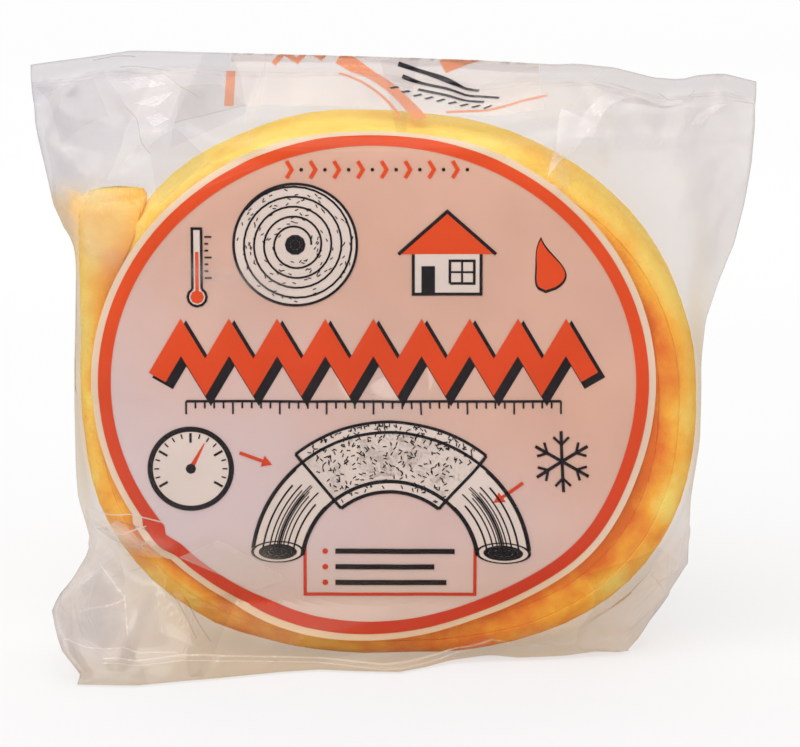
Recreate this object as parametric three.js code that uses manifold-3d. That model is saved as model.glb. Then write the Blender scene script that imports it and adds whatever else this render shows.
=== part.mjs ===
// A roll of glass-fibre pipe wrap in its clear film bag, with the small roll of
// vapour-seal film that goes with it in the bore.
//
// Millimetres, +Z up. The roll stands on its rim: X runs across its face, Y is along
// its axis with the front at -Y, and Z = 0 is the floor under the bag.
import * as THREE from 'three';
import { mergeVertices } from 'three/addons/utils/BufferGeometryUtils.js';
import Module from 'manifold-3d';

const wasm = await Module();
wasm.setup();

// ---------------------------------------------------------------- driving sizes

// The strip and the roll it is wound into.
const stripWidth = 76.2; // 3 in
const turnPitch = 9.6; // a half-inch strip, pressed by the winding
const rollWidth = 305;
const rollHeight = 267; // the soft roll settles under its own weight
const outlinePowers = { upperLeft: 2.35, upperRight: 2.06, lowerLeft: 2.38, lowerRight: 2.45 }; // 2 is an ellipse
const rimRadius = 14; // rounding of the roll's outer edges
const boreDiameter = 46;
const boreRadius = 2.5; // rounding of the bore's edges
const grooveWidth = 3.2; // the line between two turns, on the roll's faces
const grooveDepth = 2.4;

// The strip's loose end, which stands up beside the roll.
const tailThickness = 15; // close to its thickness before it was pressed
const tailFlare = 9; // how much thicker its cut end has swollen
const tailTop = 225; // above the floor
const tailLength = 92; // from the cut end down to where it leaves the roll
const tailStandoff = 1.5; // how far it stands past the roll's side
const tailBevel = 3;

// The roll of vapour-seal film.
const wrapWidth = 50.8; // 2 in
const wrapDiameter = 40;
const wrapBore = 22;
const wrapLip = 1.2; // rounding of its edges

// The bag.
const layFlatWidth = 368; // the tube pressed flat, side fold to side fold
const filmWall = 1;
const clearance = 0.3; // between things that touch
const filmEase = 2.3; // how loosely the film lies round the roll
const tailHeadroom = 18; // the film's stretch over the corner of the loose end
const crownHalf = 22; // the level stretch at the very top and bottom of the roll
const sealRise = 22.9; // from the top of the roll up to the line where the bag is welded shut
const sealSkirt = 8; // film above that line
const weldHalf = 102; // the top weld runs straight this far to each side
const sealSetback = 20; // the top weld lies this far behind the middle
const pocketReach = 9; // the film's foot in front of the roll, above the flap
const pocketRise = 28; // the height at which that foot has closed to the roll
const footBlend = 48; // height over which the foot's loose folds pull tight
const pressedHalf = 5; // where the films come this near to the middle they lie together
const apronBody = 5; // how much less far the pocket reaches into the apron before the roll
const ventDiameter = 6;
const ventAside = 70; // from the middle, behind the roll
const ventRise = 60; // above the roll's axis

// ---------------------------------------------------------------- smoothness

const rollSegments = 60;
const arcSteps = 3;
const grooveStep = 24; // mm along the spiral
const wrapSegments = 32;
const ringPoints = 48;
const ventSegments = 12;
const bagRows = 33;
const rowCrowding = 0.65; // rows lie closer together towards the floor and the top weld
const lowestRow = 1; // height of the film's first row above the floor
const bendReach = 4; // mm over which a bend in the film draws points to itself
const bendWeight = 28;
const foldHalvings = 40; // steps in the search for a fold's place
const turnLineSteps = 4000; // for measuring the line between the turns
const vertexTolerance = 1e-4;

// ---------------------------------------------------------------- derived places

const rollFloor = filmWall + clearance;
const rollCentre = rollFloor + rollHeight / 2;
const halfStrip = stripWidth / 2;
const rollTop = rollFloor + rollHeight;
const roofSpring = rollTop - rimRadius; // where the film leaves the roll for the top weld
const sealHeight = rollTop + sealRise;

// ---------------------------------------------------------------- small helpers

const lerp = THREE.MathUtils.lerp;

/** Straight-line interpolation in a short table of [place, ...values] rows. */
function between(table, place) {
  const next = table.findIndex((row) => row[0] >= place);
  if (next === 0) return table[0].slice(1);
  if (next < 0) return table.at(-1).slice(1);
  const [low, high] = [table[next - 1], table[next]];
  const share = (place - low[0]) / (high[0] - low[0]);
  return low.slice(1).map((value, i) => lerp(value, high[i + 1], share));
}

/** A quarter arc of a profile, from one angle to the other. */
function arc(centreX, centreY, radius, from, to) {
  return Array.from({ length: arcSteps + 1 }, (_, i) => {
    const angle = lerp(from, to, i / arcSteps);
    return new THREE.Vector2(centreX + radius * Math.cos(angle), centreY + radius * Math.sin(angle));
  });
}

/** Shared vertices, position only, as booleans and closed solids need. */
function welded(geometry) {
  const bare = geometry.clone();
  bare.deleteAttribute('normal');
  bare.deleteAttribute('uv');
  return mergeVertices(bare, vertexTolerance);
}

function toSolid(geometry) {
  const closed = welded(geometry);
  return new wasm.Manifold(new wasm.Mesh({
    numProp: 3,
    vertProperties: new Float32Array(closed.attributes.position.array),
    triVerts: new Uint32Array(closed.index.array),
  }));
}

function toGeometry(solid) {
  const mesh = solid.getMesh();
  const geometry = new THREE.BufferGeometry();
  geometry.setAttribute('position', new THREE.BufferAttribute(mesh.vertProperties, mesh.numProp));
  geometry.setIndex(new THREE.BufferAttribute(mesh.triVerts, 1));
  return geometry;
}

function named(name, geometry, material) {
  const flat = geometry.toNonIndexed();
  flat.computeVertexNormals();
  const mesh = new THREE.Mesh(flat, material);
  mesh.name = name;
  return mesh;
}

// ---------------------------------------------------------------- the roll's outline

/** How square the outline is in the quadrant that holds a place: it has sagged unevenly. */
function squareness(x, z) {
  const { upperLeft, upperRight, lowerLeft, lowerRight } = outlinePowers;
  if (z > 0) return x < 0 ? upperLeft : upperRight;
  return x < 0 ? lowerLeft : lowerRight;
}

/**
 * Where a point of the round roll goes once the roll has settled. The turns stay
 * round at the bore, and towards the rim they get lower and a little squarer.
 */
function settled(radius, cos, sin) {
  const bore = boreDiameter / 2;
  const share = Math.min((radius - bore) / (rollWidth / 2 - rimRadius - bore), 1);
  const power = lerp(2, squareness(cos, sin), share);
  const reach = (Math.abs(cos) ** power + Math.abs(sin) ** power) ** (-1 / power);
  const sink = (share * (rollWidth - rollHeight)) / 2;
  return [radius * cos * reach, (radius - sink) * sin * reach];
}

/** Presses a round turned piece on the Y axis into the settled roll's shape. */
function press(geometry) {
  const place = geometry.attributes.position;
  for (let i = 0; i < place.count; i += 1) {
    const [x, z] = [place.getX(i), place.getZ(i)];
    const radius = Math.hypot(x, z);
    const [newX, newZ] = settled(radius, x / radius, z / radius);
    place.setX(i, newX);
    place.setZ(i, newZ);
  }
  return geometry;
}

/**
 * How far the roll reaches to one side at a height, for an outline grown by the given
 * amount. The side is -1 on the left, 1 on the right.
 */
function halfChord(height, grown, side) {
  const rise = Math.abs(height - rollCentre) / (rollHeight / 2 + grown);
  const power = squareness(side, height - rollCentre);
  return rise < 1 ? (rollWidth / 2 + grown) * (1 - rise ** power) ** (1 / power) : -1;
}

// ---------------------------------------------------------------- insulation roll

/** The turned body: its section runs once round the wound strip, bore to rim. */
function turnedBody() {
  const rim = rollWidth / 2 - rimRadius;
  const shoulder = halfStrip - rimRadius;
  const bore = boreDiameter / 2 + boreRadius;
  const lip = halfStrip - boreRadius;
  const quarter = Math.PI / 2;
  const section = [
    ...arc(bore, -lip, boreRadius, -2 * quarter, -quarter),
    ...arc(rim, -shoulder, rimRadius, -quarter, 0),
    ...arc(rim, shoulder, rimRadius, 0, quarter),
    ...arc(bore, lip, boreRadius, quarter, 2 * quarter),
  ];
  section.push(section[0].clone());
  return press(new THREE.LatheGeometry(section, rollSegments));
}

/** The line between the turns: a spiral from the bore out to the roll's edge. */
class TurnLine extends THREE.Curve {
  constructor(face) {
    super();
    this.face = face;
    this.start = boreDiameter / 2 + turnPitch;
    this.turns = (rollWidth / 2 - rimRadius / 2 - this.start) / turnPitch;
  }

  getPoint(share, target = new THREE.Vector3()) {
    const angle = share * this.turns * 2 * Math.PI;
    const radius = this.start + share * this.turns * turnPitch;
    const [x, z] = settled(radius, -Math.cos(angle), Math.sin(angle));
    return target.set(x, this.face, z);
  }
}

/** A V-shaped cutter that follows the line between the turns on one face. */
function grooveCutter(side) {
  const line = new TurnLine(side * halfStrip);
  line.arcLengthDivisions = turnLineSteps;
  const half = grooveWidth / 2;
  const vee = new THREE.Shape([
    new THREE.Vector2(-grooveDepth, 0),
    new THREE.Vector2(grooveDepth, -2 * half),
    new THREE.Vector2(grooveDepth, 2 * half),
  ]);
  const flipped = new THREE.Shape(vee.getPoints().map((p) => new THREE.Vector2(-p.x, -p.y)));
  const steps = Math.round(line.getLength() / grooveStep);
  const settings = { steps, extrudePath: line, bevelEnabled: false };
  const frames = line.computeFrenetFrames(1, false);
  const outward = frames.normals[0].y * side > 0;
  return toSolid(new THREE.ExtrudeGeometry(outward ? vee : flipped, settings));
}

/** The strip's loose end, standing up beside the roll and swollen at its cut. */
function looseEnd() {
  const outer = -rollWidth / 2 - tailStandoff;
  const foot = tailTop - tailLength;
  const rooted = halfChord(foot, -turnPitch, -1);
  const outline = new THREE.Shape();
  outline.moveTo(outer + tailBevel, tailTop - rollCentre);
  outline.lineTo(outer + tailThickness + tailFlare, tailTop - rollCentre);
  outline.lineTo(outer + tailThickness, tailTop - tailLength / 2 - rollCentre);
  outline.lineTo(-rooted, foot - rollCentre);
  outline.lineTo(outer + tailBevel + tailStandoff, foot - rollCentre);
  outline.lineTo(outer, tailTop - tailLength / 2 - rollCentre);
  outline.lineTo(outer, tailTop - tailBevel - rollCentre);
  const block = new THREE.ExtrudeGeometry(outline, {
    depth: stripWidth - 2 * tailBevel,
    bevelEnabled: true,
    bevelThickness: tailBevel,
    bevelSize: tailBevel,
    bevelOffset: -tailBevel,
    bevelSegments: 2,
  });
  block.translate(0, 0, -stripWidth / 2 + tailBevel);
  block.rotateX(Math.PI / 2);
  return toSolid(block);
}

function insulationRoll() {
  let solid = toSolid(turnedBody());
  for (const side of [-1, 1]) {
    solid = solid.subtract(grooveCutter(side));
  }
  const whole = toGeometry(solid.add(looseEnd()));
  whole.translate(0, 0, rollCentre);
  return whole;
}

// ---------------------------------------------------------------- vapour-seal wrap

function sealWrap() {
  const [inside, outside] = [wrapBore / 2, wrapDiameter / 2];
  const half = wrapWidth / 2;
  const section = [
    [inside, -half],
    [outside - wrapLip, -half],
    [outside, -half + wrapLip],
    [outside, half - wrapLip],
    [outside - wrapLip, half],
    [inside, half],
    [inside, -half],
  ].map(([x, y]) => new THREE.Vector2(x, y));
  const roll = new THREE.LatheGeometry(section, wrapSegments);
  const boreFloor = rollCentre - boreDiameter / 2;
  roll.translate(0, 0, boreFloor + clearance + outside);
  return roll;
}

// ---------------------------------------------------------------- film bag

// The side folds near the floor, as [height, distance past the roll's side, y]: the
// left corner stands out to the front as an ear and the right corner is tucked back.
const leftFoot = [
  [0, -2.5, -80], [12, 3, -70], [19, 8, -58], [27, 12.5, -46], [34, 14.5, -36],
  [42, 7.5, -24], [48, 1, -14], [55, -1.5, -6], [65, 1.5, 0], [84, 4, 0],
];
const rightFoot = [
  [0, -32.5, -18], [8, -20.5, -14], [18, -15.5, -8], [27, -9, -4], [38, -2, 0],
  [47, 0.5, 0], [56, 0, 0], [84, 1.5, 0],
];
const footTop = leftFoot.at(-1)[0];

// The upper edge is not level: how far it drops along X.
const edgeDrop = [
  [-184, 8], [-128, 0], [-10, 3], [83, 7], [112, 9], [132, 13.5], [153, 12.5], [184, 16],
];

// The apron, where the film slopes forward to lie on the floor before the roll, as
// [x, how far it reaches, the height at which it starts].
const apron = [
  [-165, 36, 58], [-123, 42, 46], [-83, 29, 24], [-44, 16, 14], [5, 18, 12], [30, 2, 8], [50, 0, 6],
];
const apronPower = 1.15;

/** The strip and roll cut at a height, grown by the skin, as points around it. */
function packedSection(height, skin) {
  const points = [];
  for (let i = 0; i <= arcSteps; i += 1) {
    const turn = (i / arcSteps) * (Math.PI / 2);
    const inset = rimRadius * (1 - Math.cos(turn));
    const depth = halfStrip - rimRadius * (1 - Math.sin(turn)) + skin;
    for (const side of [-1, 1]) {
      const chord = halfChord(height, skin - inset, side);
      if (chord > 0) points.push([side * chord, depth], [side * chord, -depth]);
    }
  }
  const under = rollHeight / 2 + skin - Math.abs(height - rollCentre);
  if (under > 0) {
    const rounding = Math.max(rimRadius - under, 0);
    const depth = halfStrip - rimRadius + Math.sqrt(rimRadius ** 2 - rounding ** 2) + skin;
    points.push([-crownHalf, -depth], [crownHalf, -depth], [crownHalf, depth], [-crownHalf, depth]);
  }
  if (height > tailTop - tailLength - tailHeadroom && height < tailTop + tailHeadroom) {
    const past = Math.max(height - tailTop - skin, tailTop - tailLength - height, 0) / tailHeadroom;
    const outer = lerp(-rollWidth / 2 - tailStandoff - skin, -halfChord(height, skin, -1), past);
    const depth = halfStrip + skin - past * rimRadius;
    points.push([outer, tailBevel - depth], [outer, depth - tailBevel]);
    points.push([outer + tailBevel, -depth], [outer + tailBevel, depth]);
  }
  return points;
}

/**
 * How far out the film lies at a height above the roll's shoulder: round the
 * rounded edge, then straight to the top weld. The side is -1 in front, 1 behind.
 */
function roofReach(height, side, skin) {
  const radius = rimRadius + skin;
  const centre = side * (halfStrip - rimRadius);
  const weld = sealSetback + side * skin;
  const [run, rise] = [weld - centre, sealHeight - roofSpring];
  const leave = Math.atan2(rise, run) - side * Math.acos(radius / Math.hypot(run, rise));
  const [leaveY, leaveZ] = [centre + radius * Math.cos(leave), roofSpring + radius * Math.sin(leave)];
  if (height < leaveZ) return centre + side * Math.sqrt(radius ** 2 - (height - roofSpring) ** 2);
  return lerp(leaveY, weld, Math.min((height - leaveZ) / (sealHeight - leaveZ), 1));
}

/** The film over the top of the roll, at a height, as points around it. */
function roofSection(height, skin) {
  if (height <= roofSpring) return [];
  const share = Math.min((height - roofSpring) / (sealHeight - roofSpring), 1);
  const front = roofReach(height, -1, skin);
  const back = roofReach(height, 1, skin);
  const [left, right] = [-1, 1].map((side) => side * lerp(halfChord(roofSpring, 0, side), weldHalf, share));
  return [[left, front], [right, front], [right, back], [left, back]];
}

/** The film's foot: a narrow pocket in front of the roll that closes upwards. */
function footSection(height, skin) {
  if (height >= pocketRise) return [];
  const share = height / pocketRise;
  const front = -halfStrip - skin - lerp(pocketReach, 0, share);
  const back = halfStrip - rimRadius + skin;
  const [left, right] = [-1, 1].map((side) => {
    const [low, high] = [-rimRadius, 0].map((grown) => halfChord(pocketRise, grown, side));
    return side * (lerp(low, high, share) + skin);
  });
  return [[left, front], [right, front], [right, back], [left, back]];
}

/** The convex outline round a set of points, counter-clockwise from above. */
function taut(points) {
  const sorted = [...points].sort((p, q) => p[0] - q[0] || p[1] - q[1]);
  const turns = (a, b, c) => (b[0] - a[0]) * (c[1] - a[1]) - (b[1] - a[1]) * (c[0] - a[0]);
  const chain = (list) => {
    const kept = [];
    for (const point of list) {
      while (kept.length > 1 && turns(kept.at(-2), kept.at(-1), point) <= 0) kept.pop();
      kept.push(point);
    }
    return kept;
  };
  const front = chain(sorted);
  const back = chain(sorted.reverse());
  return { front, back };
}

function pathLength(path) {
  return path.slice(1).reduce((sum, p, i) => sum + Math.hypot(p[0] - path[i][0], p[1] - path[i][1]), 0);
}

/** The point a given length along a path. */
function pointAlong(path, goal) {
  let rest = Math.max(goal, 0);
  for (let i = 1; i < path.length; i += 1) {
    const [from, to] = [path[i - 1], path[i]];
    const length = Math.hypot(to[0] - from[0], to[1] - from[1]);
    if (rest <= length) return [lerp(from[0], to[0], rest / length), lerp(from[1], to[1], rest / length)];
    rest -= length;
  }
  return path.at(-1);
}

/** Points along a path without its last one, closer together where it bends. */
function spaced(path, count) {
  const total = pathLength(path);
  const fine = Math.ceil(total);
  const stride = Math.round((bendReach * fine) / total);
  const dense = Array.from({ length: fine + 1 }, (_, i) => pointAlong(path, (total * i) / fine));
  const cost = [0];
  for (let i = 1; i <= fine; i += 1) {
    const here = dense[i];
    const before = dense[Math.max(i - stride, 0)];
    const after = dense[Math.min(i + stride, fine)];
    const [inX, inY] = [here[0] - before[0], here[1] - before[1]];
    const [outX, outY] = [after[0] - here[0], after[1] - here[1]];
    const bend = Math.abs(Math.atan2(inX * outY - inY * outX, inX * outX + inY * outY));
    cost.push(cost.at(-1) + 1 + bendWeight * bend);
  }
  const points = [];
  let place = 0;
  for (let i = 0; i < count; i += 1) {
    const goal = (cost.at(-1) * i) / count;
    while (cost[place + 1] < goal) place += 1;
    const [from, to] = [dense[place], dense[place + 1]];
    const share = (goal - cost[place]) / (cost[place + 1] - cost[place]);
    points.push([lerp(from[0], to[0], share), lerp(from[1], to[1], share)]);
  }
  return points;
}

/** The film's length round one side of the packed section, out to a fold at x. */
function sideLength(section, fold) {
  const half = section.filter(([x]) => x * fold[0] > 0);
  const reach = Math.max(...section.map(([, y]) => Math.abs(y)));
  const { front, back } = taut([...half, fold, [0, -reach], [0, reach]]);
  return pathLength(front) + pathLength(back) - 2 * reach;
}

/** Where a side fold lies, so that the tube keeps its length round the roll. */
function foldPlace(section, side, foldY) {
  let [low, high] = [0, layFlatWidth / 2];
  for (let i = 0; i < foldHalvings; i += 1) {
    const middle = (low + high) / 2;
    if (sideLength(section, [side * middle, foldY]) < layFlatWidth) low = middle;
    else high = middle;
  }
  return side * high;
}

/** Both side folds at a height. */
function sideFolds(height) {
  const skin = filmEase + filmWall;
  const section = [...packedSection(height, skin), ...roofSection(height, skin)];
  const lean = THREE.MathUtils.smoothstep(height, rollCentre, sealHeight) * sealSetback;
  const upper = [-1, 1].map((side) => [foldPlace(section, side, lean), lean]);
  const blend = THREE.MathUtils.smoothstep(height, footTop, footTop + footBlend);
  return [leftFoot, rightFoot].map((foot, i) => {
    const [past, y] = between(foot, height);
    const x = Math.sign(upper[i][0]) * (rollWidth / 2 + past);
    return [lerp(x, upper[i][0], blend), lerp(y, upper[i][1], blend)];
  });
}

/** The fold of the air pocket: short of the bag's fold, where the films part. */
function pocketFold(section, [x, y]) {
  const core = Math.max(...section.map((point) => point[0] * Math.sign(x)));
  const depths = section.map((point) => point[1]);
  const [front, back] = [Math.min(...depths), Math.max(...depths)];
  const share = Math.min((2 * pressedHalf) / (back - front), 1);
  return [lerp(x, core * Math.sign(x), share), lerp(y, (front + back) / 2, share)];
}

/** How far forward the apron carries a point of the film's front. */
function apronShift([x, y], height, skin, body) {
  const [reach, rise] = between(apron, x);
  const face = -halfStrip - skin;
  const lie = Math.max(1 - height / rise, 0) ** apronPower;
  return THREE.MathUtils.clamp(y / face, 0, 1) * lie * (face - Math.max(reach - body, 0) - y);
}

/** One ring of the bag's surface, front first from the left fold. */
function bagRing(height, skin, pocket = false) {
  const section = [
    ...packedSection(height, skin),
    ...roofSection(height, skin),
    ...footSection(height, skin),
  ];
  const folds = sideFolds(Math.min(height, sealHeight));
  const { front, back } = taut([...section, ...(pocket ? folds.map((fold) => pocketFold(section, fold)) : folds)]);
  const body = pocket ? apronBody : 0;
  const points = [
    ...spaced(front, ringPoints / 2).map((p) => [p[0], p[1] + apronShift(p, height, skin, body)]),
    ...spaced(back, ringPoints / 2),
  ];
  const raised = THREE.MathUtils.smoothstep(height, rollTop, sealHeight);
  return points.map(([x, y]) => new THREE.Vector3(x, y, height - raised * between(edgeDrop, x)[0]));
}

/** A closed solid through a stack of rings, its two ends closed across. */
function stacked(rings) {
  const count = ringPoints;
  const vertices = rings.flat();
  const faces = [];
  const quad = (a, b, c, d) => faces.push(a, b, c, a, c, d);
  for (let row = 0; row + 1 < rings.length; row += 1) {
    for (let i = 0; i < count; i += 1) {
      const next = (i + 1) % count;
      quad(row * count + i, row * count + next, (row + 1) * count + next, (row + 1) * count + i);
    }
  }
  const top = (rings.length - 1) * count;
  const mirror = (i) => (count - i) % count;
  for (let i = 0; i < count / 2; i += 1) {
    const corners = [i, mirror(i), mirror(i + 1), i + 1];
    for (const [base, order] of [[0, corners], [top, [...corners].reverse()]]) {
      const [a, b, c, d] = order.map((k) => base + k);
      if (a !== b && b !== c) faces.push(a, b, c);
      if (a !== d && c !== d) faces.push(a, c, d);
    }
  }
  const geometry = new THREE.BufferGeometry();
  geometry.setFromPoints(vertices);
  geometry.setIndex(faces);
  return geometry;
}

function filmBag() {
  const skin = filmEase + filmWall;
  const turn = 2 * Math.PI;
  const heights = Array.from({ length: bagRows }, (_, i) => {
    const share = i / (bagRows - 1);
    const crowded = share - (rowCrowding * Math.sin(turn * share)) / turn;
    return lerp(lowestRow, sealHeight, crowded);
  });
  const outer = stacked([
    bagRing(0, skin),
    ...heights.map((height) => bagRing(height, skin)),
    bagRing(sealHeight + sealSkirt, skin),
  ]);
  const pocketTop = sealHeight - 2 * pressedHalf;
  const inner = heights.slice(1).filter((height) => height < pocketTop - clearance);
  const levels = [filmWall, ...inner, pocketTop];
  const pocket = stacked(levels.map((level) => bagRing(level, filmEase, true)));
  let bag = toSolid(outer).subtract(toSolid(pocket));
  for (const side of [-1, 1]) {
    const punch = new THREE.CylinderGeometry(ventDiameter / 2, ventDiameter / 2, stripWidth, ventSegments);
    punch.translate(side * ventAside, halfStrip + (filmEase + stripWidth) / 2, rollCentre + ventRise);
    bag = bag.subtract(toSolid(punch));
  }
  return toGeometry(bag);
}

// ---------------------------------------------------------------- the pack

const glassFibre = new THREE.MeshStandardMaterial({ color: 0xe6b75c, roughness: 0.95, metalness: 0 });
const sealFilm = new THREE.MeshStandardMaterial({ color: 0xe9e6df, roughness: 0.35, metalness: 0 });
const bagFilm = new THREE.MeshStandardMaterial({
  color: 0xe2ddda,
  roughness: 0.2,
  metalness: 0,
  transparent: true,
  opacity: 0.35,
});

const pack = new THREE.Group();
pack.add(named('insulation_roll', insulationRoll(), glassFibre));
pack.add(named('vapor_seal_wrap', welded(sealWrap()), sealFilm));
pack.add(named('film_bag', filmBag(), bagFilm));

// The origin is under the middle of the whole pack.
const middle = new THREE.Box3().setFromObject(pack).getCenter(new THREE.Vector3());
pack.position.set(-middle.x, -middle.y, 0);

export default pack;
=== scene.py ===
"""The looks of a roll of glass-fibre pipe wrap in its clear, printed film bag.

Metres, +Z up. The roll stands on its rim: X runs across its face, Y runs along its axis
from the printed front to the back. Every size that the pack shares with its solids is
read from the frame.
"""

import logging
import math
from collections.abc import Callable
from dataclasses import dataclass, field
from enum import Enum

import bpy
import numpy as np
from bpy.types import Material, Node, NodeSocket, Object, World
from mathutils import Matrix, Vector, geometry
from mathutils.bvhtree import BVHTree


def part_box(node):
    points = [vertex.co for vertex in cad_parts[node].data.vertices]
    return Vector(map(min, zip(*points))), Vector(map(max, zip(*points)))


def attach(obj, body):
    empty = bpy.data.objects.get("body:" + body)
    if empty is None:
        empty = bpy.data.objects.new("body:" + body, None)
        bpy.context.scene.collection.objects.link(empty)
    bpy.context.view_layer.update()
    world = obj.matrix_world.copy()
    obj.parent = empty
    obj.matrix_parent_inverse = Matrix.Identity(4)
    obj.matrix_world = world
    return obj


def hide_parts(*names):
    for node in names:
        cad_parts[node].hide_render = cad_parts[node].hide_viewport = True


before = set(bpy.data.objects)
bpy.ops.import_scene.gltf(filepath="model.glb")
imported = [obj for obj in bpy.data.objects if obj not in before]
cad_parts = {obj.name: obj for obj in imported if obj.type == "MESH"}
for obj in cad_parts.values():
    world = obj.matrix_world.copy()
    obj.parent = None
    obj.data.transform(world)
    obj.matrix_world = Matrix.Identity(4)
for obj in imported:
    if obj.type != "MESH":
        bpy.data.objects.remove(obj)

log = logging.getLogger("insulation_pack")

MM = 0.001
BODY = "root"
CLEAR = (1.0, 1.0, 1.0, 1.0)

Array = np.ndarray
Point = tuple[float, float]
Values = Array | float


# ------------------------------------------------------------------ small helpers


def srgb(red: int, green: int, blue: int) -> tuple[float, float, float, float]:
    """Turn an 8-bit display colour into the linear colour that a shader takes.

    Args:
        red: Red, 0 to 255.
        green: Green, 0 to 255.
        blue: Blue, 0 to 255.

    Returns:
        Linear red, green, blue and an alpha of 1.
    """
    shares = (value / 255 for value in (red, green, blue))
    return (*(s / 12.92 if s <= 0.04045 else ((s + 0.055) / 1.055) ** 2.4 for s in shares), 1.0)


def eased(value: Values, low: float, high: float) -> Values:
    """Rise smoothly from 0 at low to 1 at high."""
    share = np.clip((np.asarray(value, float) - low) / (high - low), 0, 1)
    return share * share * (3 - 2 * share)


def mix(start: Values, end: Values, share: Values) -> Values:
    """Go from start to end by a share."""
    return start + (end - start) * share


def unit(ways: Array) -> Array:
    """Give vectors a length of 1, along the last axis."""
    return ways / np.maximum(np.linalg.norm(ways, axis=-1, keepdims=True), 1e-12)


def metres(*rows: tuple) -> Array:
    """Turn rows of millimetres into an array in metres."""
    return np.array(rows, float) * MM


def looked_up(table: Array, at: Values) -> list[Values]:
    """Give each further column of a table at values of its first one."""
    return [np.interp(at, table[:, 0], column) for column in table.T[1:]]


class Lumps:
    """A smooth, seeded, uneven field: waves of one scale in many directions."""

    def __init__(self, seed: int, scale: float, waves: int = 14) -> None:
        """Draw the waves.

        Args:
            seed: Seed of the draw.
            scale: Typical distance between two lumps, in metres.
            waves: How many waves are summed.
        """
        rng = np.random.default_rng(seed)
        ways = unit(rng.normal(size=(waves, 3)))
        self.ways = ways * (2 * math.pi / scale) * rng.uniform(0.6, 1.5, (waves, 1))
        self.phases = rng.uniform(0, 2 * math.pi, waves)

    def at(self, points: Array) -> Array:
        """Give the field, about -1 to 1, at points of shape (..., 3)."""
        waves = np.sin(points @ self.ways.T + self.phases)
        return waves.sum(-1) / math.sqrt(len(self.phases))


def quads(index: Array) -> Array:
    """Give the faces between the rows of a grid of vertices that closes on itself sideways."""
    low, high = index[:-1], index[1:]
    return np.stack([low, np.roll(low, -1, 1), np.roll(high, -1, 1), high], -1)


def new_mesh(name: str, points: Array, faces: list, smooth: bool = True) -> Object:
    """Make a mesh object at the origin and link it to the scene.

    Args:
        name: Name of the piece.
        points: Vertices of shape (n, 3).
        faces: Vertex indices of each face.
        smooth: Whether its faces are shaded smooth.

    Returns:
        The new object.
    """
    mesh = bpy.data.meshes.new(name)
    mesh.from_pydata(np.asarray(points).tolist(), [], faces)
    mesh.validate()
    mesh.polygons.foreach_set("use_smooth", [smooth] * len(mesh.polygons))
    piece = bpy.data.objects.new(name, mesh)
    bpy.context.scene.collection.objects.link(piece)
    return piece


def pick(piece: Object) -> None:
    """Select one piece alone and make it the active one."""
    bpy.ops.object.select_all(action="DESELECT")
    piece.select_set(True)
    bpy.context.view_layer.objects.active = piece


def edit_all(piece: Object, operator: Callable, **settings: bool) -> None:
    """Run an edit-mode operator on the whole mesh of a piece.

    Args:
        piece: The piece.
        operator: The operator.
        **settings: What the operator is told.
    """
    pick(piece)
    bpy.ops.object.mode_set(mode="EDIT")
    bpy.ops.mesh.select_all(action="SELECT")
    operator(**settings)
    bpy.ops.object.mode_set(mode="OBJECT")


def store(piece: Object, name: str, values: Array) -> None:
    """Store a value at each vertex of a piece, for its material to read."""
    layer = piece.data.attributes.new(name, "FLOAT", "POINT")
    layer.data.foreach_set("value", values.reshape(-1).astype(np.float32))


def dress(piece: Object, material: Material) -> Object:
    """Give a piece its material and let it ride on the pack's body."""
    piece.data.materials.append(material)
    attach(piece, BODY)
    return piece


# ------------------------------------------------------------------ node building


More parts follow.
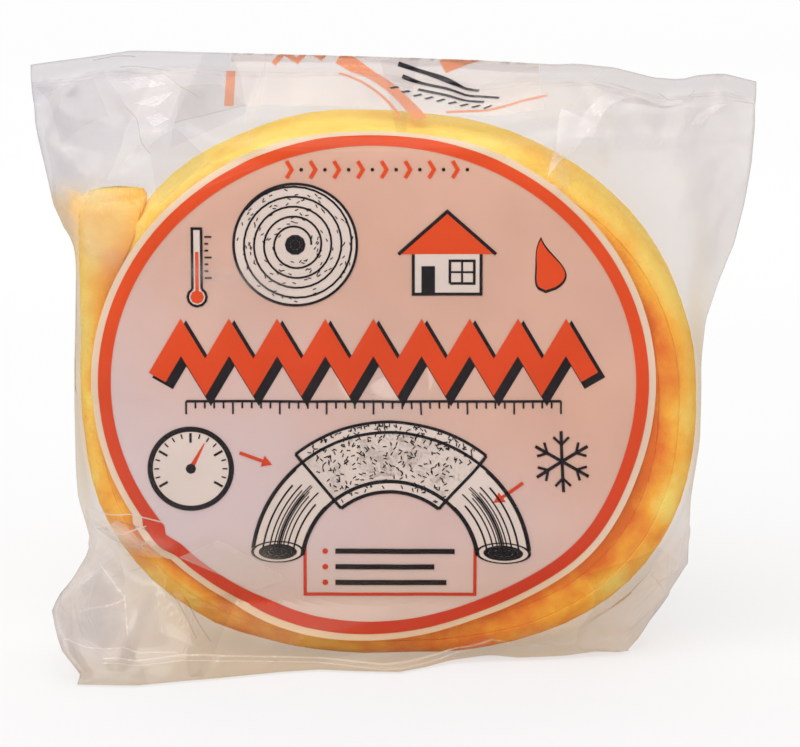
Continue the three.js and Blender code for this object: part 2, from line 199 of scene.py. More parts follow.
class Nodes:
    """Builds a node tree in few words."""

    def __init__(self, name: str, owner: World | None = None) -> None:
        """Start the empty tree of a new material with that name, or of the given world."""
        self.owner = owner or bpy.data.materials.new(name)
        self.owner.use_nodes = True
        self.tree = self.owner.node_tree
        self.tree.nodes.clear()

    def add(self, kind: str, inputs: dict | None = None, **settings: object) -> Node:
        """Add a node.

        Args:
            kind: Node type without its ShaderNode prefix.
            inputs: Socket name or number to a value or an output socket.
            **settings: Properties of the node.

        Returns:
            The new node.
        """
        node = self.tree.nodes.new("ShaderNode" + kind)
        for key, value in settings.items():
            setattr(node, key, value)
        for key, value in (inputs or {}).items():
            if isinstance(value, NodeSocket):
                self.tree.links.new(value, node.inputs[key])
            else:
                node.inputs[key].default_value = value
        return node

    def out(self, kind: str, inputs: dict | None = None, **settings: object) -> NodeSocket:
        """Add a node and give its first output."""
        return self.add(kind, inputs, **settings).outputs[0]

    def place(self) -> NodeSocket:
        """Give the Object coordinates."""
        return self.add("TexCoord").outputs["Object"]

    def axes(self) -> bpy.types.bpy_prop_collection:
        """Give the X, Y and Z of the Object coordinates."""
        return self.add("SeparateXYZ", {0: self.place()}).outputs

    def told(self, name: str) -> NodeSocket:
        """Read a value stored on the mesh."""
        return self.add("Attribute", attribute_name=name, attribute_type="GEOMETRY").outputs["Fac"]

    def noise(self, scale: float, detail: float, roughness: float = 0.5, **more: float) -> NodeSocket:
        """Give a noise value in Object coordinates, scale in waves per metre."""
        inputs = {"Vector": self.place(), "Scale": scale, "Detail": detail, "Roughness": roughness, **more}
        return self.out("TexNoise", inputs)

    def math(self, operation: str, *values: object) -> NodeSocket:
        """Give the result of a Math node."""
        return self.out("Math", dict(enumerate(values)), operation=operation)

    def span(self, value: NodeSocket, *limits: float, **settings: str) -> NodeSocket:
        """Map a value: the limits are from where, to where, and what it gives at each."""
        return self.out("MapRange", {"Value": value, **dict(enumerate(limits, 1))}, **settings)

    def blend(self, kind: str, share: object, one: object, two: object) -> NodeSocket:
        """Mix two colours (kind RGB) or two shaders (kind Shader) by a share."""
        return self.out("Mix" + kind, {0: share, 1: one, 2: two})

    def soft(self, colour: object, through: float) -> NodeSocket:
        """Give a matt shader through which a share of the light passes."""
        front = self.out("BsdfDiffuse", {"Color": colour})
        return self.blend("Shader", through, front, self.out("BsdfTranslucent", {"Color": colour}))

    def lit(self, shader: NodeSocket, colour: object, strength: float) -> NodeSocket:
        """Let a shader give off some light as well."""
        glow = self.out("Emission", {"Color": colour, "Strength": strength})
        return self.out("AddShader", {0: shader, 1: glow})

    def ramp(self, value: NodeSocket, *stops: tuple[float, tuple]) -> NodeSocket:
        """Give a colour ramp's colour, from (position, colour) stops.

        Args:
            value: What the ramp reads.
            *stops: Positions and colours in turn.

        Returns:
            The ramp's colour.
        """
        node = self.add("ValToRGB", {"Fac": value})
        elements = node.color_ramp.elements
        while len(elements) < len(stops):
            elements.new(0.5)
        for element, (position, colour) in zip(elements, stops):
            element.position = position
            element.color = colour
        return node.outputs["Color"]

    def bump(self, height: NodeSocket, distance: float, strength: float) -> NodeSocket:
        """Give a normal bent by a height, distance in metres."""
        return self.out("Bump", {"Height": height, "Distance": distance, "Strength": strength})

    def finish(self, shader: NodeSocket) -> Material:
        """Wire the shader to the output and give the material."""
        self.add("OutputMaterial", {"Surface": shader})
        # The little light that a surface gives off itself is not searched for as a lamp is.
        self.owner.cycles.emission_sampling = "NONE"
        return self.owner


# ------------------------------------------------------------------ finishes


@dataclass(frozen=True)
class GlassWool:
    """Yellow bonded glass wool: matt and fibrous, deepening to orange by a stored value that is mostly
    painted shade.
    """

    light: tuple = srgb(255, 230, 120)
    middle: tuple = srgb(255, 184, 66)
    deep: tuple = srgb(232, 106, 38)
    strand: tuple = srgb(255, 232, 160)
    # Painted glow of the loose fibres.
    painted_strand_glow: float = 0.26
    fibre_scale: float = 900.0
    patch_scale: float = 34.0
    mottle: tuple = (0.9, 2.3)
    # A painted glow: its colour, and its strength low down and at the top.
    painted_glow_colour: tuple = srgb(246, 198, 88)
    painted_glow_strength: tuple = (0.080, 0.140)
    # Stored value that deepens the colour: painted shade, lightest on the lit outer rim and top, with some
    # tone that differs from turn to turn.
    attribute: str = "wool_shade_and_tone"

    def fibre(self) -> Material:
        """Make the material of single fibres, through which light passes, with a painted glow."""
        n = Nodes("glass_fibre_strand")
        return n.finish(n.lit(n.soft(self.strand, 0.5), self.strand, self.painted_strand_glow))

    def build(self) -> Material:
        """Make the material.

        Returns:
            The material.
        """
        n = Nodes("glass_wool")
        axes = n.axes()
        mottle = n.span(axes["Z"], 0.200, 0.080, *self.mottle)
        mottle = n.math("MULTIPLY", mottle, n.span(axes["Y"], 0.0, 0.045, 1.0, 0.4))
        patch = n.math("SUBTRACT", n.noise(self.patch_scale, 3.0, 0.55), 0.5)
        fibre = n.math("SUBTRACT", n.noise(self.fibre_scale, 2.0, 0.7), 0.5)
        # The stored painted shade and tone, with random mottle and fibres, pick the colour.
        depth = n.math("ADD", n.told(self.attribute), n.math("MULTIPLY", patch, mottle))
        depth = n.math("ADD", depth, n.math("MULTIPLY", fibre, 0.35))
        strands = n.noise(self.fibre_scale / 3, 2.5, 0.75, Distortion=2.5)
        look = {
            "Base Color": n.ramp(depth, (0.0, self.light), (0.45, self.middle), (1.0, self.deep)),
            "Roughness": 0.95,
            "Specular IOR Level": 0.15,
            "Sheen Weight": 0.06,
            "Sheen Roughness": 0.6,
            # Painted glow, stronger towards the roll's top.
            "Emission Color": self.painted_glow_colour,
            "Emission Strength": n.span(axes["Z"], 0.200, 0.270, *self.painted_glow_strength),
            "Normal": n.bump(strands, 0.0012, 0.7),
        }
        return n.finish(n.out("BsdfPrincipled", look))


@dataclass(frozen=True)
class ClearFilm:
    """Clear polyethylene film: see-through, a little hazy, glossy at its creases, with painted highlight,
    shade and bounced light stored on its mesh.
    """

    tint: tuple = (0.954, 0.945, 0.948, 1.0)
    # Tint of painted shade on facets turned from the light; the fin and the film over the loose end take it
    # too.
    shaded_facet_tint: tuple = (0.898, 0.887, 0.896, 1.0)
    # Tint and, below, milk colour of painted warm light bounced from the wool.
    bounce_tint: tuple = (0.930, 0.894, 0.846, 1.0)
    milk: tuple = srgb(240, 236, 238)
    bounce_milk: tuple = srgb(240, 222, 190)
    milk_share: float = 0.056
    # Painted highlight along the creases, soft and sharp.
    crease_sheen_share: tuple = (0.05, 0.08)
    # Painted highlight and painted shade of the facet panes.
    pane_share: float = 0.13
    pane_tint: tuple = (0.938, 0.931, 0.935, 1.0)
    through: float = 0.45
    weld_share: float = 0.05
    gloss_roughness: float = 0.15
    shine: tuple = (0.0045, 0.0125)
    edge_shine: float = 0.10
    slack: str = "slack"
    # Attributes of the milk with painted highlight in it, and of the grey that paints shade.
    haze_and_sheen: str = "haze_and_sheen"
    grey: str = "grey"
    # Attribute of painted light bounced from the wool, and of loose wool in the fold.
    bounce_and_wisp: str = "bounce_and_wisp"
    # Attribute that holds the distance down the film from its top lip, in metres.
    climb: str = "climb"
    weld_lines: tuple = (0.0078, 0.0094)
    # The fin over the top weld: where it ends, from full to none, and how grey it is.
    fin: tuple = (0.0070, 0.0082, 0.35, 0.0)

    def pane(self, pale: bool) -> Material:
        """Make the material of a pane of painted highlight on a facet that turns to the light, or of
        painted shade on one that turns from it.
        """
        n = Nodes("facet_painted_highlight" if pale else "facet_painted_shade")
        clear = n.out("BsdfTransparent", {"Color": CLEAR if pale else self.pane_tint})
        if not pale:
            return n.finish(clear)
        return n.finish(n.blend("Shader", self.pane_share, clear, n.soft(self.milk, self.through)))

    def milk_and_sheen(self, grid: Array, tone: Array, slack: Array, crease: Array) -> Array:
        """Say how milky the film is at each point of its mesh, painted highlight included.

        Args:
            grid: The points.
            tone: How far each point turns to the light, 0 to 1.
            slack: How free the film is to crumple there.
            crease: How near a crease lies, 0 to 1.

        Returns:
            The share of light that the milky film takes, painted highlight included, for each point.
        """
        # Facets turned to the light take more milk: a painted highlight.
        uneven = 0.35 + 0.085 * Lumps(77, 0.034).at(grid) + 1.3 * tone
        dim = 0.5 * eased(-0.6 * grid[..., 0] - 0.9 * grid[..., 2], -0.13, 0.08)
        # Painted highlight along the creases.
        soft, sharp = self.crease_sheen_share
        marks = crease * soft + crease**4 * sharp
        return self.milk_share * uneven * (0.10 + np.maximum(0.95 * slack, dim)) + marks

    def build(self) -> Material:
        """Make the material.

        Returns:
            The material.
        """
        n = Nodes("clear_film")
        names = (self.slack, self.bounce_and_wisp, self.haze_and_sheen, self.climb, self.grey)
        slack, bounce_and_wisp, share, climb, grey = (n.told(name) for name in names)
        for line in self.weld_lines:
            near = n.math("ABSOLUTE", n.math("SUBTRACT", climb, line))
            share = n.math("ADD", share, n.span(near, 0.0002, 0.0006, self.weld_share, 0.0))
        # Painted shade: facets turned from the light, the fin and the film over the loose end take the grey
        # tint.
        tint = n.blend("RGB", n.math("MAXIMUM", grey, n.span(climb, *self.fin)), self.tint, self.shaded_facet_tint)
        # Painted warm light bounced from the wool tints the film and its milk.
        clear = n.out("BsdfTransparent", {"Color": n.blend("RGB", bounce_and_wisp, tint, self.bounce_tint)})
        haze_and_sheen = n.soft(n.blend("RGB", bounce_and_wisp, self.milk, self.bounce_milk), self.through)
        body = n.blend("Shader", share, clear, haze_and_sheen)
        edge = n.add("LayerWeight", {"Blend": 0.5}).outputs["Facing"]
        taut, loose = self.shine
        shine = n.math("ADD", taut, n.math("MULTIPLY", slack, loose))
        shine = n.math("ADD", shine, n.math("MULTIPLY", n.math("POWER", edge, 4.0), self.edge_shine))
        gloss = n.out("BsdfAnisotropic", {"Color": CLEAR, "Roughness": self.gloss_roughness})
        return n.finish(n.blend("Shader", shine, body, gloss))


@dataclass(frozen=True)
class Ink:
    """One printing ink on the inner side of the film, or a painted glint, highlight, glare or shade laid
    there like one.
    """

    name: str
    colour: tuple
    cover: float = 0.9
    # The colour it fades to down the bag, a painted change of light, and how the way down leans along X.
    painted_fade_colour: tuple | None = None
    low_lean: float = -0.55
    # Light it gives off, for painted glare.
    glow: float = 0.0

    def build(self) -> Material:
        """Make the material.

        Returns:
            The material.
        """
        n = Nodes(self.name)
        worn = (*(0.93 * part for part in self.colour[:3]), 1.0)
        tone = n.ramp(n.noise(30.0, 1.0), (0.3, self.colour), (0.7, worn))
        if self.painted_fade_colour:
            axes = n.axes()
            across = n.math("MULTIPLY", axes["X"], self.low_lean)
            down = n.math("ADD", across, n.math("MULTIPLY", axes["Z"], -1.0))
            down = n.math("ADD", down, n.math("MULTIPLY", n.noise(13.0, 2.0), 0.10))
            share = n.span(down, -0.15, 0.06, 0.0, 1.0, interpolation_type="SMOOTHSTEP")
            tone = n.blend("RGB", share, tone, self.painted_fade_colour)
        paint = n.out("BsdfDiffuse", {"Color": tone})
        if self.glow:
            paint = n.lit(paint, self.colour, self.glow)
        return n.finish(n.blend("Shader", self.cover, n.out("BsdfTransparent", {"Color": CLEAR}), paint))


@dataclass(frozen=True)
class WoundFilm:
    """The white vapour-seal film, wound on itself."""

    colour: tuple = srgb(233, 230, 223)
    gap_colour: tuple = srgb(206, 203, 197)

    def build(self) -> Material:
        """Make the material."""
        n = Nodes("wound_film")
        waves = {"Vector": n.place(), "Scale": 260.0, "Distortion": 1.5, "Detail": 2.0}
        rings = n.add("TexWave", waves, wave_type="RINGS", rings_direction="Y").outputs["Fac"]
        tone = n.ramp(rings, (0.2, self.gap_colour), (0.8, self.colour))
        normal = n.bump(rings, 0.0003, 0.6)
        return n.finish(n.out("BsdfPrincipled", {"Base Color": tone, "Roughness": 0.35, "Normal": normal}))


# ------------------------------------------------------------------ the roll's form


@dataclass(frozen=True)
class RollForm:
    """The settled roll's outline, which the strip fills and the film wraps."""

    centre_y: float
    centre_z: float
    half_width: float
    half_height: float
    half_depth: float
    tail_top: float = 0.2252
    bore: float = 0.023
    rim: float = 0.014
    # How square the outline is: 2 is an ellipse, more is squarer.
    upper_left: float = 2.35
    upper_right: float = 2.06
    lower_left: float = 2.38
    lower_right: float = 2.45

    @classmethod
    def from_frame(cls) -> "RollForm":
        """Read the form from the frame's roll.

        Returns:
            The form.
        """
        low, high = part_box("insulation_roll")
        return cls(
            centre_y=(low.y + high.y) / 2,
            centre_z=(low.z + high.z) / 2,
            half_width=high.x,
            half_height=(high.z - low.z) / 2,
            half_depth=(high.y - low.y) / 2,
        )

    @property
    def top(self) -> float:
        """Height of the roll's top."""
        return self.centre_z + self.half_height

    def squareness(self, x: Array, z: Array) -> Array:
        """Say how square the outline is in the quadrant that holds a place."""
        upper = np.where(x < 0, self.upper_left, self.upper_right)
        lower = np.where(x < 0, self.lower_left, self.lower_right)
        return np.where(z > 0, upper, lower)

    def settle(self, radius: Array, cos: Array, sin: Array) -> tuple[Array, Array]:
        """Say where points of the round roll go once it has settled.

        Args:
            radius: Distance from the roll's axis.
            cos: Cosine of the way to the point.
            sin: Sine of the way to the point.

        Returns:
            The x and z of the points, from the roll's axis.
        """
        share = np.clip((radius - self.bore) / (self.half_width - self.rim - self.bore), 0, 1)
        power = mix(2.0, self.squareness(cos, sin), share)
        reach = (np.abs(cos) ** power + np.abs(sin) ** power) ** (-1 / power)
        sink = share * (self.half_width - self.half_height)
        return radius * cos * reach, (radius - sink) * sin * reach

    def half_chord(self, z: float, grown: float, side: int) -> float:
        """Say how far an outline grown by an amount reaches to one side at a height.

        Args:
            z: The height.
            grown: How far the outline is grown.
            side: Left is -1, right is 1.

        Returns:
            The reach, or -1 past the outline.
        """
        rise = abs(z - self.centre_z) / (self.half_height + grown)
        if rise >= 1:
            return -1.0
        power = float(self.squareness(side, z - self.centre_z))
        return (self.half_width + grown) * (1 - rise**power) ** (1 / power)

    def rim_depth(self, radius: Array) -> Array:
        """Give half the strip's width at a radius, less where the roll's edge is rounded."""
        past = np.clip(radius - (self.half_width - self.rim), 0, self.rim)
        return self.half_depth - self.rim + np.sqrt(self.rim**2 - past**2)


# ------------------------------------------------------------------ insulation roll


# How thick the loose end is on its way up: share of the way in thousandths, thickness.
TAIL_SWELL = metres((0, 9.6), (300, 12.8), (500, 16.4), (660, 20.6), (860, 29.0), (1000, 31.5))


@dataclass
class InsulationRoll:
    """The wound strip of glass wool, bore to loose end, as one soft piece."""

    form: RollForm
    finish: GlassWool = field(default_factory=GlassWool)
    pitch: float = 0.0096
    steps_per_turn: int = 76
    tail_steps: int = 40
    # The loose end: how its top and its edges are rounded, how far it stands over the
    # frame's, and how far its outer side is drawn in.
    tail_rounding: float = 0.0060
    tail_edge: float = 0.0068
    tail_more: float = 0.0042
    tail_draw: float = 0.0010
    # Rounding of the loose end's top towards the front and towards the back.
    tail_ends: tuple = (0.026, 0.009)
    corner: float = 0.0004
    turn_gap: float = 0.00005
    unevenness: float = 0.0004
    # Where the loose outer turn's hump lies along X, and how wide it is.
    hump_place: tuple = (-0.038, 0.040)
    hump_rise: float = 0.0046
    across: int = 13
    # How deep the painted shade is, at least, at the foot, over the lower half, at the right
    # and at the lower left, whatever lies in front of it.
    least_wool_shade: tuple = (0.62, 0.34, 0.16, 0.54)
    # Loose fibres at the loose end's side, at its top and along the roll's upper edge.
    fibre_counts: tuple = (800, 900, 700)
    fibre_thickness: tuple = (0.00016, 0.00012, 0.00012)
    seed: int = 41

    def section(self) -> Array:
        """Give the strip's section as rows of (share of thickness, share of width), closed.

        Returns:
            The rows.
        """
        side = self.corner / self.pitch
        edge = self.corner / self.form.half_depth
        along = np.linspace(-1 + edge, 1 - edge, self.across)
        rounding = np.linspace(0, math.pi / 2, 4)[1:]
        right = [(1 - side * (1 - math.cos(a)), 1 - edge + edge * math.sin(a)) for a in rounding]
        middle = [(0.88, 1.0), (0.74, 1.0), (0.5, 1.0)]
        low = [(1 - share, width) for share, width in right[::-1]]
        outer = [(1.0, width) for width in along]
        inner = [(0.0, width) for width in along[::-1]]
        left = [(share, -width) for share, width in (right + middle + low)[::-1]]
        return np.array(outer + right + middle + low + inner + left)

    def quickened(self, turn: Array, turns: float) -> Array:
        """Say how far each turn is lifted, so that the turns step out beside the loose end."""
        part = (turn - turns) % 1.0
        lift = (1 - part) * (1 - (1 - part) ** 12)
        return self.pitch * lift * np.clip(turn / turns, 0, 1)

    def wander(self, turn: Array) -> Array:
        """Say how far the strip's edges draw back along the winding, 0 to about 2."""
        rng = np.random.default_rng(self.seed)
        waves = [np.sin(turn * rng.uniform(1.5, 22.0) + rng.uniform(0, 6.28)) for _ in range(9)]
        return 1 + np.clip(sum(waves) / 3, -1, 1.4)

    def coil(self, section: Array) -> tuple[Array, Array]:
        """Give the wound part's rings of points, and the wool's painted shade and tone at each.

        Args:
            section: The strip's section, from section().

        Returns:
            The rings, (rings, around, 3), and the painted shade and tone at each point, 0 to 1.
        """
        form, thickness, across = self.form, section[None, :, 0], section[None, :, 1]
        turns = (form.half_width - form.bore) / self.pitch - 1
        turn = np.linspace(0, turns, int(turns * self.steps_per_turn))[:, None]
        lift = self.quickened(turn, turns)
        thick = self.pitch + self.quickened(turn + 1, turns) - lift - self.turn_gap
        radius = form.bore + self.pitch * turn + lift + thick * thickness
        angle = 2 * math.pi * (turn - turns)
        x, z = form.settle(radius, -np.cos(angle), np.sin(angle))
        drawn_back = self.unevenness * self.wander(turn) / form.half_depth
        depth = form.rim_depth(radius) * across * (1 - drawn_back)
        points = np.stack([x, depth + 0 * x, z], -1)
        points[..., 2] += self.hump(points, radius)
        # The back shows the turns: it is paler, and deeper only where two turns meet.
        seam = (2 * np.abs(thickness - 0.5)) ** 2
        shown = np.where(across > 0, (0.26 + 0.34 * seam) * across, -across)
        # Painted shade: the wool deepens inwards from its outer rim, which catches the light.
        wool_shade_and_tone = np.clip((form.half_width - radius) / 0.022, 0, 1) * shown
        streak = np.sin(5.1 * np.floor(turn) + 1.3 * np.sin(2 * math.pi * turn))
        wool_shade_and_tone = wool_shade_and_tone + 0.10 * streak * (radius < form.half_width)
        # Painted shade where less light falls: at the foot, over the lower half, at the right and at the
        # lower left.
        places = (
            1 - eased(z, -form.half_height, 0.075 - form.half_height),
            1 - eased(z, -0.090, 0.060),
            eased(x, 0.030, 0.100),
            eased(-x, 0.050, 0.090) * (1 - eased(z, -0.095, -0.060)),
        )
        for least, place in zip(self.least_wool_shade, places):
            wool_shade_and_tone = np.maximum(wool_shade_and_tone, least * place)
        return points, wool_shade_and_tone

    def tail(self, section: Array) -> tuple[Array, Array]:
        """Give the loose end's rings of points, and the wool's painted shade at each.

        Args:
            section: The strip's section, from section().

        Returns:
            The rings, (rings, around, 3), and the painted shade at each point, 0 to 1.
        """
        form, across = self.form, section[None, :, 1]
        inner = 1 - section[None, :, 0]
        rise = 1 - (1 - np.linspace(0, 1, self.tail_steps + 1)[1:, None]) ** 1.7
        climb = form.tail_top + self.tail_more - form.centre_z
        (thick,) = looked_up(TAIL_SWELL, rise)
        x = -form.half_width + thick * inner + self.tail_draw * eased(rise, 0.16, 0.37) * (1 - inner)
        inwards = np.clip(self.tail_edge - thick * inner, 0, None)
        worn = self.tail_edge - np.sqrt(self.tail_edge**2 - inwards**2)
        rim = form.rim_depth(form.half_width - self.pitch * inner)
        full = mix(rim, form.half_depth - worn, eased(rise, 0, 0.45))
        past = np.clip(climb * (rise - 1) + self.tail_rounding, 0, None)
        shrink = self.tail_rounding - np.sqrt(self.tail_rounding**2 - past**2)
        middle = -form.half_width + thick / 2
        x = middle + (x - middle) * (1 - 2 * shrink / thick)
        radius = mix(*self.tail_ends, eased(across, -1, 1))
        over = np.clip(climb * (rise - 1) + radius, 0, 0.97 * radius)
        slump = radius - np.sqrt(radius**2 - over**2)
        points = np.stack([x, (full - slump) * across, climb * rise + 0 * x], -1)
        # Painted shade: deeper on the side towards the roll and low down, paler at the lit top.
        return points, inner * (0.36 + 0.56 * (1 - eased(rise, 0.60, 0.98))) + 0 * x

    def rings(self) -> tuple[Array, Array]:
        """Give the strip's rings of points, and the wool's painted shade and tone at each."""
        section = self.section()
        parts = zip(self.coil(section), self.tail(section))
        return tuple(np.concatenate(part) for part in parts)

    def hump(self, points: Array, radius: Array) -> Array:
        """Say how far the outer turn stands up where it lies loose, left of the top."""
        x, y, z = np.moveaxis(points, -1, 0)
        outer = 1 - eased((self.form.half_width - radius) / self.pitch, 0.3, 1.3)
        middle, spread = self.hump_place
        across = np.exp(-(((y - 0.006) / 0.019) ** 2))
        across = across * np.exp(-(((x - middle) / spread) ** 2))
        return self.hump_rise * outer * across * eased(z, 0.06, 0.10)

    def soften(self, points: Array) -> Array:
        """Dent and ruffle the wool, inwards from its clean form.

        Args:
            points: Points from the roll's middle.

        Returns:
            The softened points.
        """
        wide, fine, tuft = (
            Lumps(self.seed + k, scale).at(points) for k, scale in enumerate((0.045, 0.009, 0.0065))
        )
        edge = np.clip(np.abs(points[..., 1:2]) / self.form.half_depth, 0, 1) ** 4
        loose = eased(points[..., 2], 0.066, 0.090) * eased(-points[..., 0], 0.118, 0.128)
        push = np.clip(0.0007 * (1 + wide) + 0.00035 * fine, 0, None)[..., None]
        sides = np.sign(points[..., 1:2]) * (0.0, 1.0, 0.0)
        away = unit(points * (1.0, 0.0, 1.0))
        ruffle = (loose * np.clip(tuft, -1, 1))[..., None] * (0.0011, 0.0006, 0.0013)
        return points - sides * push * edge * 1.4 - away * push * (1 - edge) * 0.5 - np.abs(ruffle)

    def fibres(self) -> Object:
        """Let loose fibres stand out of the roll's top and its loose end.

        Returns:
            The fibres as one piece.
        """
        form = self.form
        rng = np.random.default_rng(self.seed + 3)
        veil, top, rim = self.fibre_counts
        crest = form.tail_top - form.centre_z

        def spread(count: int, low: float, high: float) -> Array:
            """Draw that many values."""
            return rng.uniform(low, high, count)

        # Out of the loose end's side, towards the film's fold.
        height = crest - 0.040 * spread(veil, 0, 1) ** 1.6
        start = np.stack([spread(veil, -0.151, -0.147), spread(veil, -0.026, 0.026), height], -1)
        fold = np.interp(height + form.centre_z, (0.190, 0.213, 0.226), (-0.1545, -0.1605, -0.1660))
        reach = (start[:, 0] - fold) * spread(veil, 0.3, 0.9)
        aside = np.stack([-reach, (0.006 - start[:, 1]) * 0.8, reach * spread(veil, -0.1, 0.8)], -1)
        # Up out of the loose end's top.
        place = spread(top, -0.151, -0.122)
        crown = np.stack([place, spread(top, -0.026, 0.026), 0 * place + crest], -1)
        up = np.stack([spread(top, -0.0022, 0.0018), -0.1 * crown[:, 1], spread(top, 0.0020, 0.0062)], -1)
        # Out of the roll's upper edge.
        angle = np.radians(spread(rim, 18, 140))
        cos, sin = np.cos(angle), np.sin(angle)
        x, z = form.settle(form.half_width - 0.0004 + 0 * angle, cos, sin)
        edge = np.stack([x, spread(rim, -0.030, 0.026), z], -1)
        out = np.stack([cos, 0 * angle, sin], -1) * spread(rim, 0.0006, 0.0020)[:, None]
        out += rng.normal(0, 0.0006, out.shape) * (1, 0.2, 1)
        starts, ways = np.concatenate([start, crown, edge]), np.concatenate([aside, up, out])
        bends = rng.normal(0, 0.35, ways.shape) * np.linalg.norm(ways, axis=1, keepdims=True)
        share = np.linspace(0, 1, 4)[None, :, None]
        lines = starts[:, None] + (share - 0.15) * ways[:, None] + bends[:, None] * share * (1 - share)
        sides = unit(np.cross(ways, rng.normal(size=ways.shape)))
        others = np.cross(unit(ways), sides)
        angles = np.radians((0, 120, 240))[:, None]
        around = np.cos(angles) * sides[:, None] + np.sin(angles) * others[:, None]
        wide = np.repeat(self.fibre_thickness, self.fibre_counts)[:, None, None, None]
        points = lines[:, :, None] + around[:, None] * wide / 2 * (1 - 0.6 * share[..., None])
        # Each fibre has four rings of three points, with a face across either end.
        walls = [(3 * row + k, 3 * row + (k + 1) % 3) for row in range(3) for k in range(3)]
        faces = []
        for first in range(0, 12 * len(starts), 12):
            faces += [(first + a, first + b, first + b + 3, first + a + 3) for a, b in walls]
            faces += [(first + 2, first + 1, first), (first + 9, first + 10, first + 11)]
        middle = (0.0, form.centre_y, form.centre_z)
        piece = new_mesh("loose_glass_fibres", points.reshape(-1, 3) + middle, faces)
        edit_all(piece, bpy.ops.mesh.normals_make_consistent, inside=False)
        dress(piece, self.finish.fibre())
        return piece

    def build(self) -> Object:
        """Make the wound strip.

        Returns:
            The piece that stands for the frame's roll.
        """
        rings, wool_shade_and_tone = self.rings()
        rings = self.soften(rings)
        steps, around = rings.shape[:2]
        points = rings.reshape(-1, 3) + (0.0, self.form.centre_y, self.form.centre_z)
        index = np.arange(steps * around).reshape(steps, around)
        ends = [index[0, ::-1].tolist(), index[-1].tolist()]
        piece = new_mesh("wound_glass_wool", points, quads(index).reshape(-1, 4).tolist() + ends)
        store(piece, self.finish.attribute, wool_shade_and_tone)
        edit_all(piece, bpy.ops.mesh.normals_make_consistent, inside=False)
        dress(piece, self.finish.build())
        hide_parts("insulation_roll")
        self.fibres()
        return piece


# ------------------------------------------------------------------ film bag


class Crumple:
    """Flat facets that meet at sharp creases, drawn on the flattened film tube."""

    def __init__(self, size: tuple[float, float], spacing: float, stretch: float, seed: int) -> None:
        """Draw the facets.

        Args:
            size: Girth and length of the film.
            spacing: Typical width of a facet.
            stretch: How many times longer than wide a facet is, up the film.
            seed: Seed of the draw.
        """
        rng = np.random.default_rng(seed)
        width, length = size
        steps = (round(width / spacing), round(length / (spacing * stretch)) + 4)
        cells = np.stack(np.meshgrid(np.arange(steps[0]), np.arange(steps[1]) - 2.0), -1).reshape(-1, 2)
        cells = cells + rng.uniform(-0.45, 0.45, cells.shape)
        heights = rng.normal(0, 0.5, len(cells))
        points = cells * (width / steps[0], spacing * stretch)
        wrapped = [points + (shift * width, 0) for shift in (-1, 0, 1)]
        kept = [(p[:, 0] > -4 * spacing) & (p[:, 0] < width + 4 * spacing) for p in wrapped]
        spots = np.concatenate([p[k] for p, k in zip(wrapped, kept)])
        levels = np.concatenate([heights[k] for k in kept])
        knots = [Vector(spot) for spot in (spots / (1.0, stretch)).tolist()]
        corners, _, self.faces, origin, _, _ = geometry.delaunay_2d_cdt(knots, [], [], 0, 1e-7)
        known = [levels[source[0]] if source else 0.0 for source in origin]
        self.stretch = stretch
        self.tree = BVHTree.FromPolygons([Vector((c.x, c.y, 0)) for c in corners], self.faces)
        self.lifted = [Vector((c.x, c.y, h)) for c, h in zip(corners, known)]

    def height(self, flat: Array) -> Array:
        """Give the height, about -1 to 1, at places on the flattened film, (rows, around, 2).

        Args:
            flat: The places.

        Returns:
            The height at each place.
        """
        out = np.empty(flat.shape[:2])
        for index in np.ndindex(*out.shape):
            spot = Vector((flat[index][0], flat[index][1] / self.stretch, 0))
            near, _, face, _ = self.tree.find_nearest(spot)
            ring = [self.lifted[k] for k in self.faces[face]]
            level = [Vector((corner.x, corner.y, 0)) for corner in ring]
            out[index] = geometry.barycentric_transform(near, *level, *ring).z
        return out

    def ridges(self) -> list[tuple[Point, Point, float]]:
        """Give each crease's two ends on the flattened film and how far it stands out.

        Returns:
            The two ends and the bend of each crease.
        """
        sides: dict = {}
        for face in self.faces:
            for k, corner in enumerate(face):
                pair = tuple(sorted((corner, face[(k + 1) % 3])))
                sides.setdefault(pair, []).append(face[(k + 2) % 3])
        found = []
        for pair, across in sides.items():
            if len(across) == 2:
                ends = [self.lifted[k] for k in pair]
                bend = sum(end.z for end in ends) - sum(self.lifted[k].z for k in across)
                found.append((*[(end.x, end.y * self.stretch) for end in ends], bend))
        return found


# Creases on the front: x and z of both ends, half width, height. Those of little or no height are painted
# sheen bands.
CREASES = metres(
    (-150, 287, -118, 284, 5, 1.6), (-122, 285, -88, 280, 5, 1.4), (-140, 240, -113, 265, 6, 1.8),
    (-172, 286, -150, 260, 8, 2), (-166, 256, -135, 228, 7, 1.8), (-163, 231, -128, 233, 5, 1.4),
    (78, 264, 86, 238, 7, 1.8), (98, 284, 112, 256, 11, 2.2), (60, 286, 92, 279, 5, 1.4),
    (92, 279, 140, 278, 5, -1.4), (150, 279, 138, 248, 10, 2.2), (163, 290, 166, 272, 5, 2),
    (120, 276, 150, 230, 11, 1.6), (-150, 68, -104, 59, 5, 2.2), (-142, 59, -112, 48, 4, -1.6),
    (-150, 56, -120, 30, 7, 2.6), (-166, 36, -120, 30, 6, 2), (-120, 38, -84, 10, 6, 2.2),
    (-135, 10, -118, 42, 6, 2.4), (98, 23, 128, 34, 7, 2.2), (110, 6, 140, 30, 7, 2.2),
    (126, 33, 150, 62, 7, 1.8), (60, 12, 104, 20, 6, 1.6), (34, 6, 52, 12, 4, 2),
    (-104, 200, -46, 190, 11, 0), (-96, 64, -48, 48, 12, 0.2), (-150, 72, -116, 64, 8, 0.4),
    (100, 275, 106, 245, 12, 0.2), (-158, 218, -128, 202, 20, 0),
)

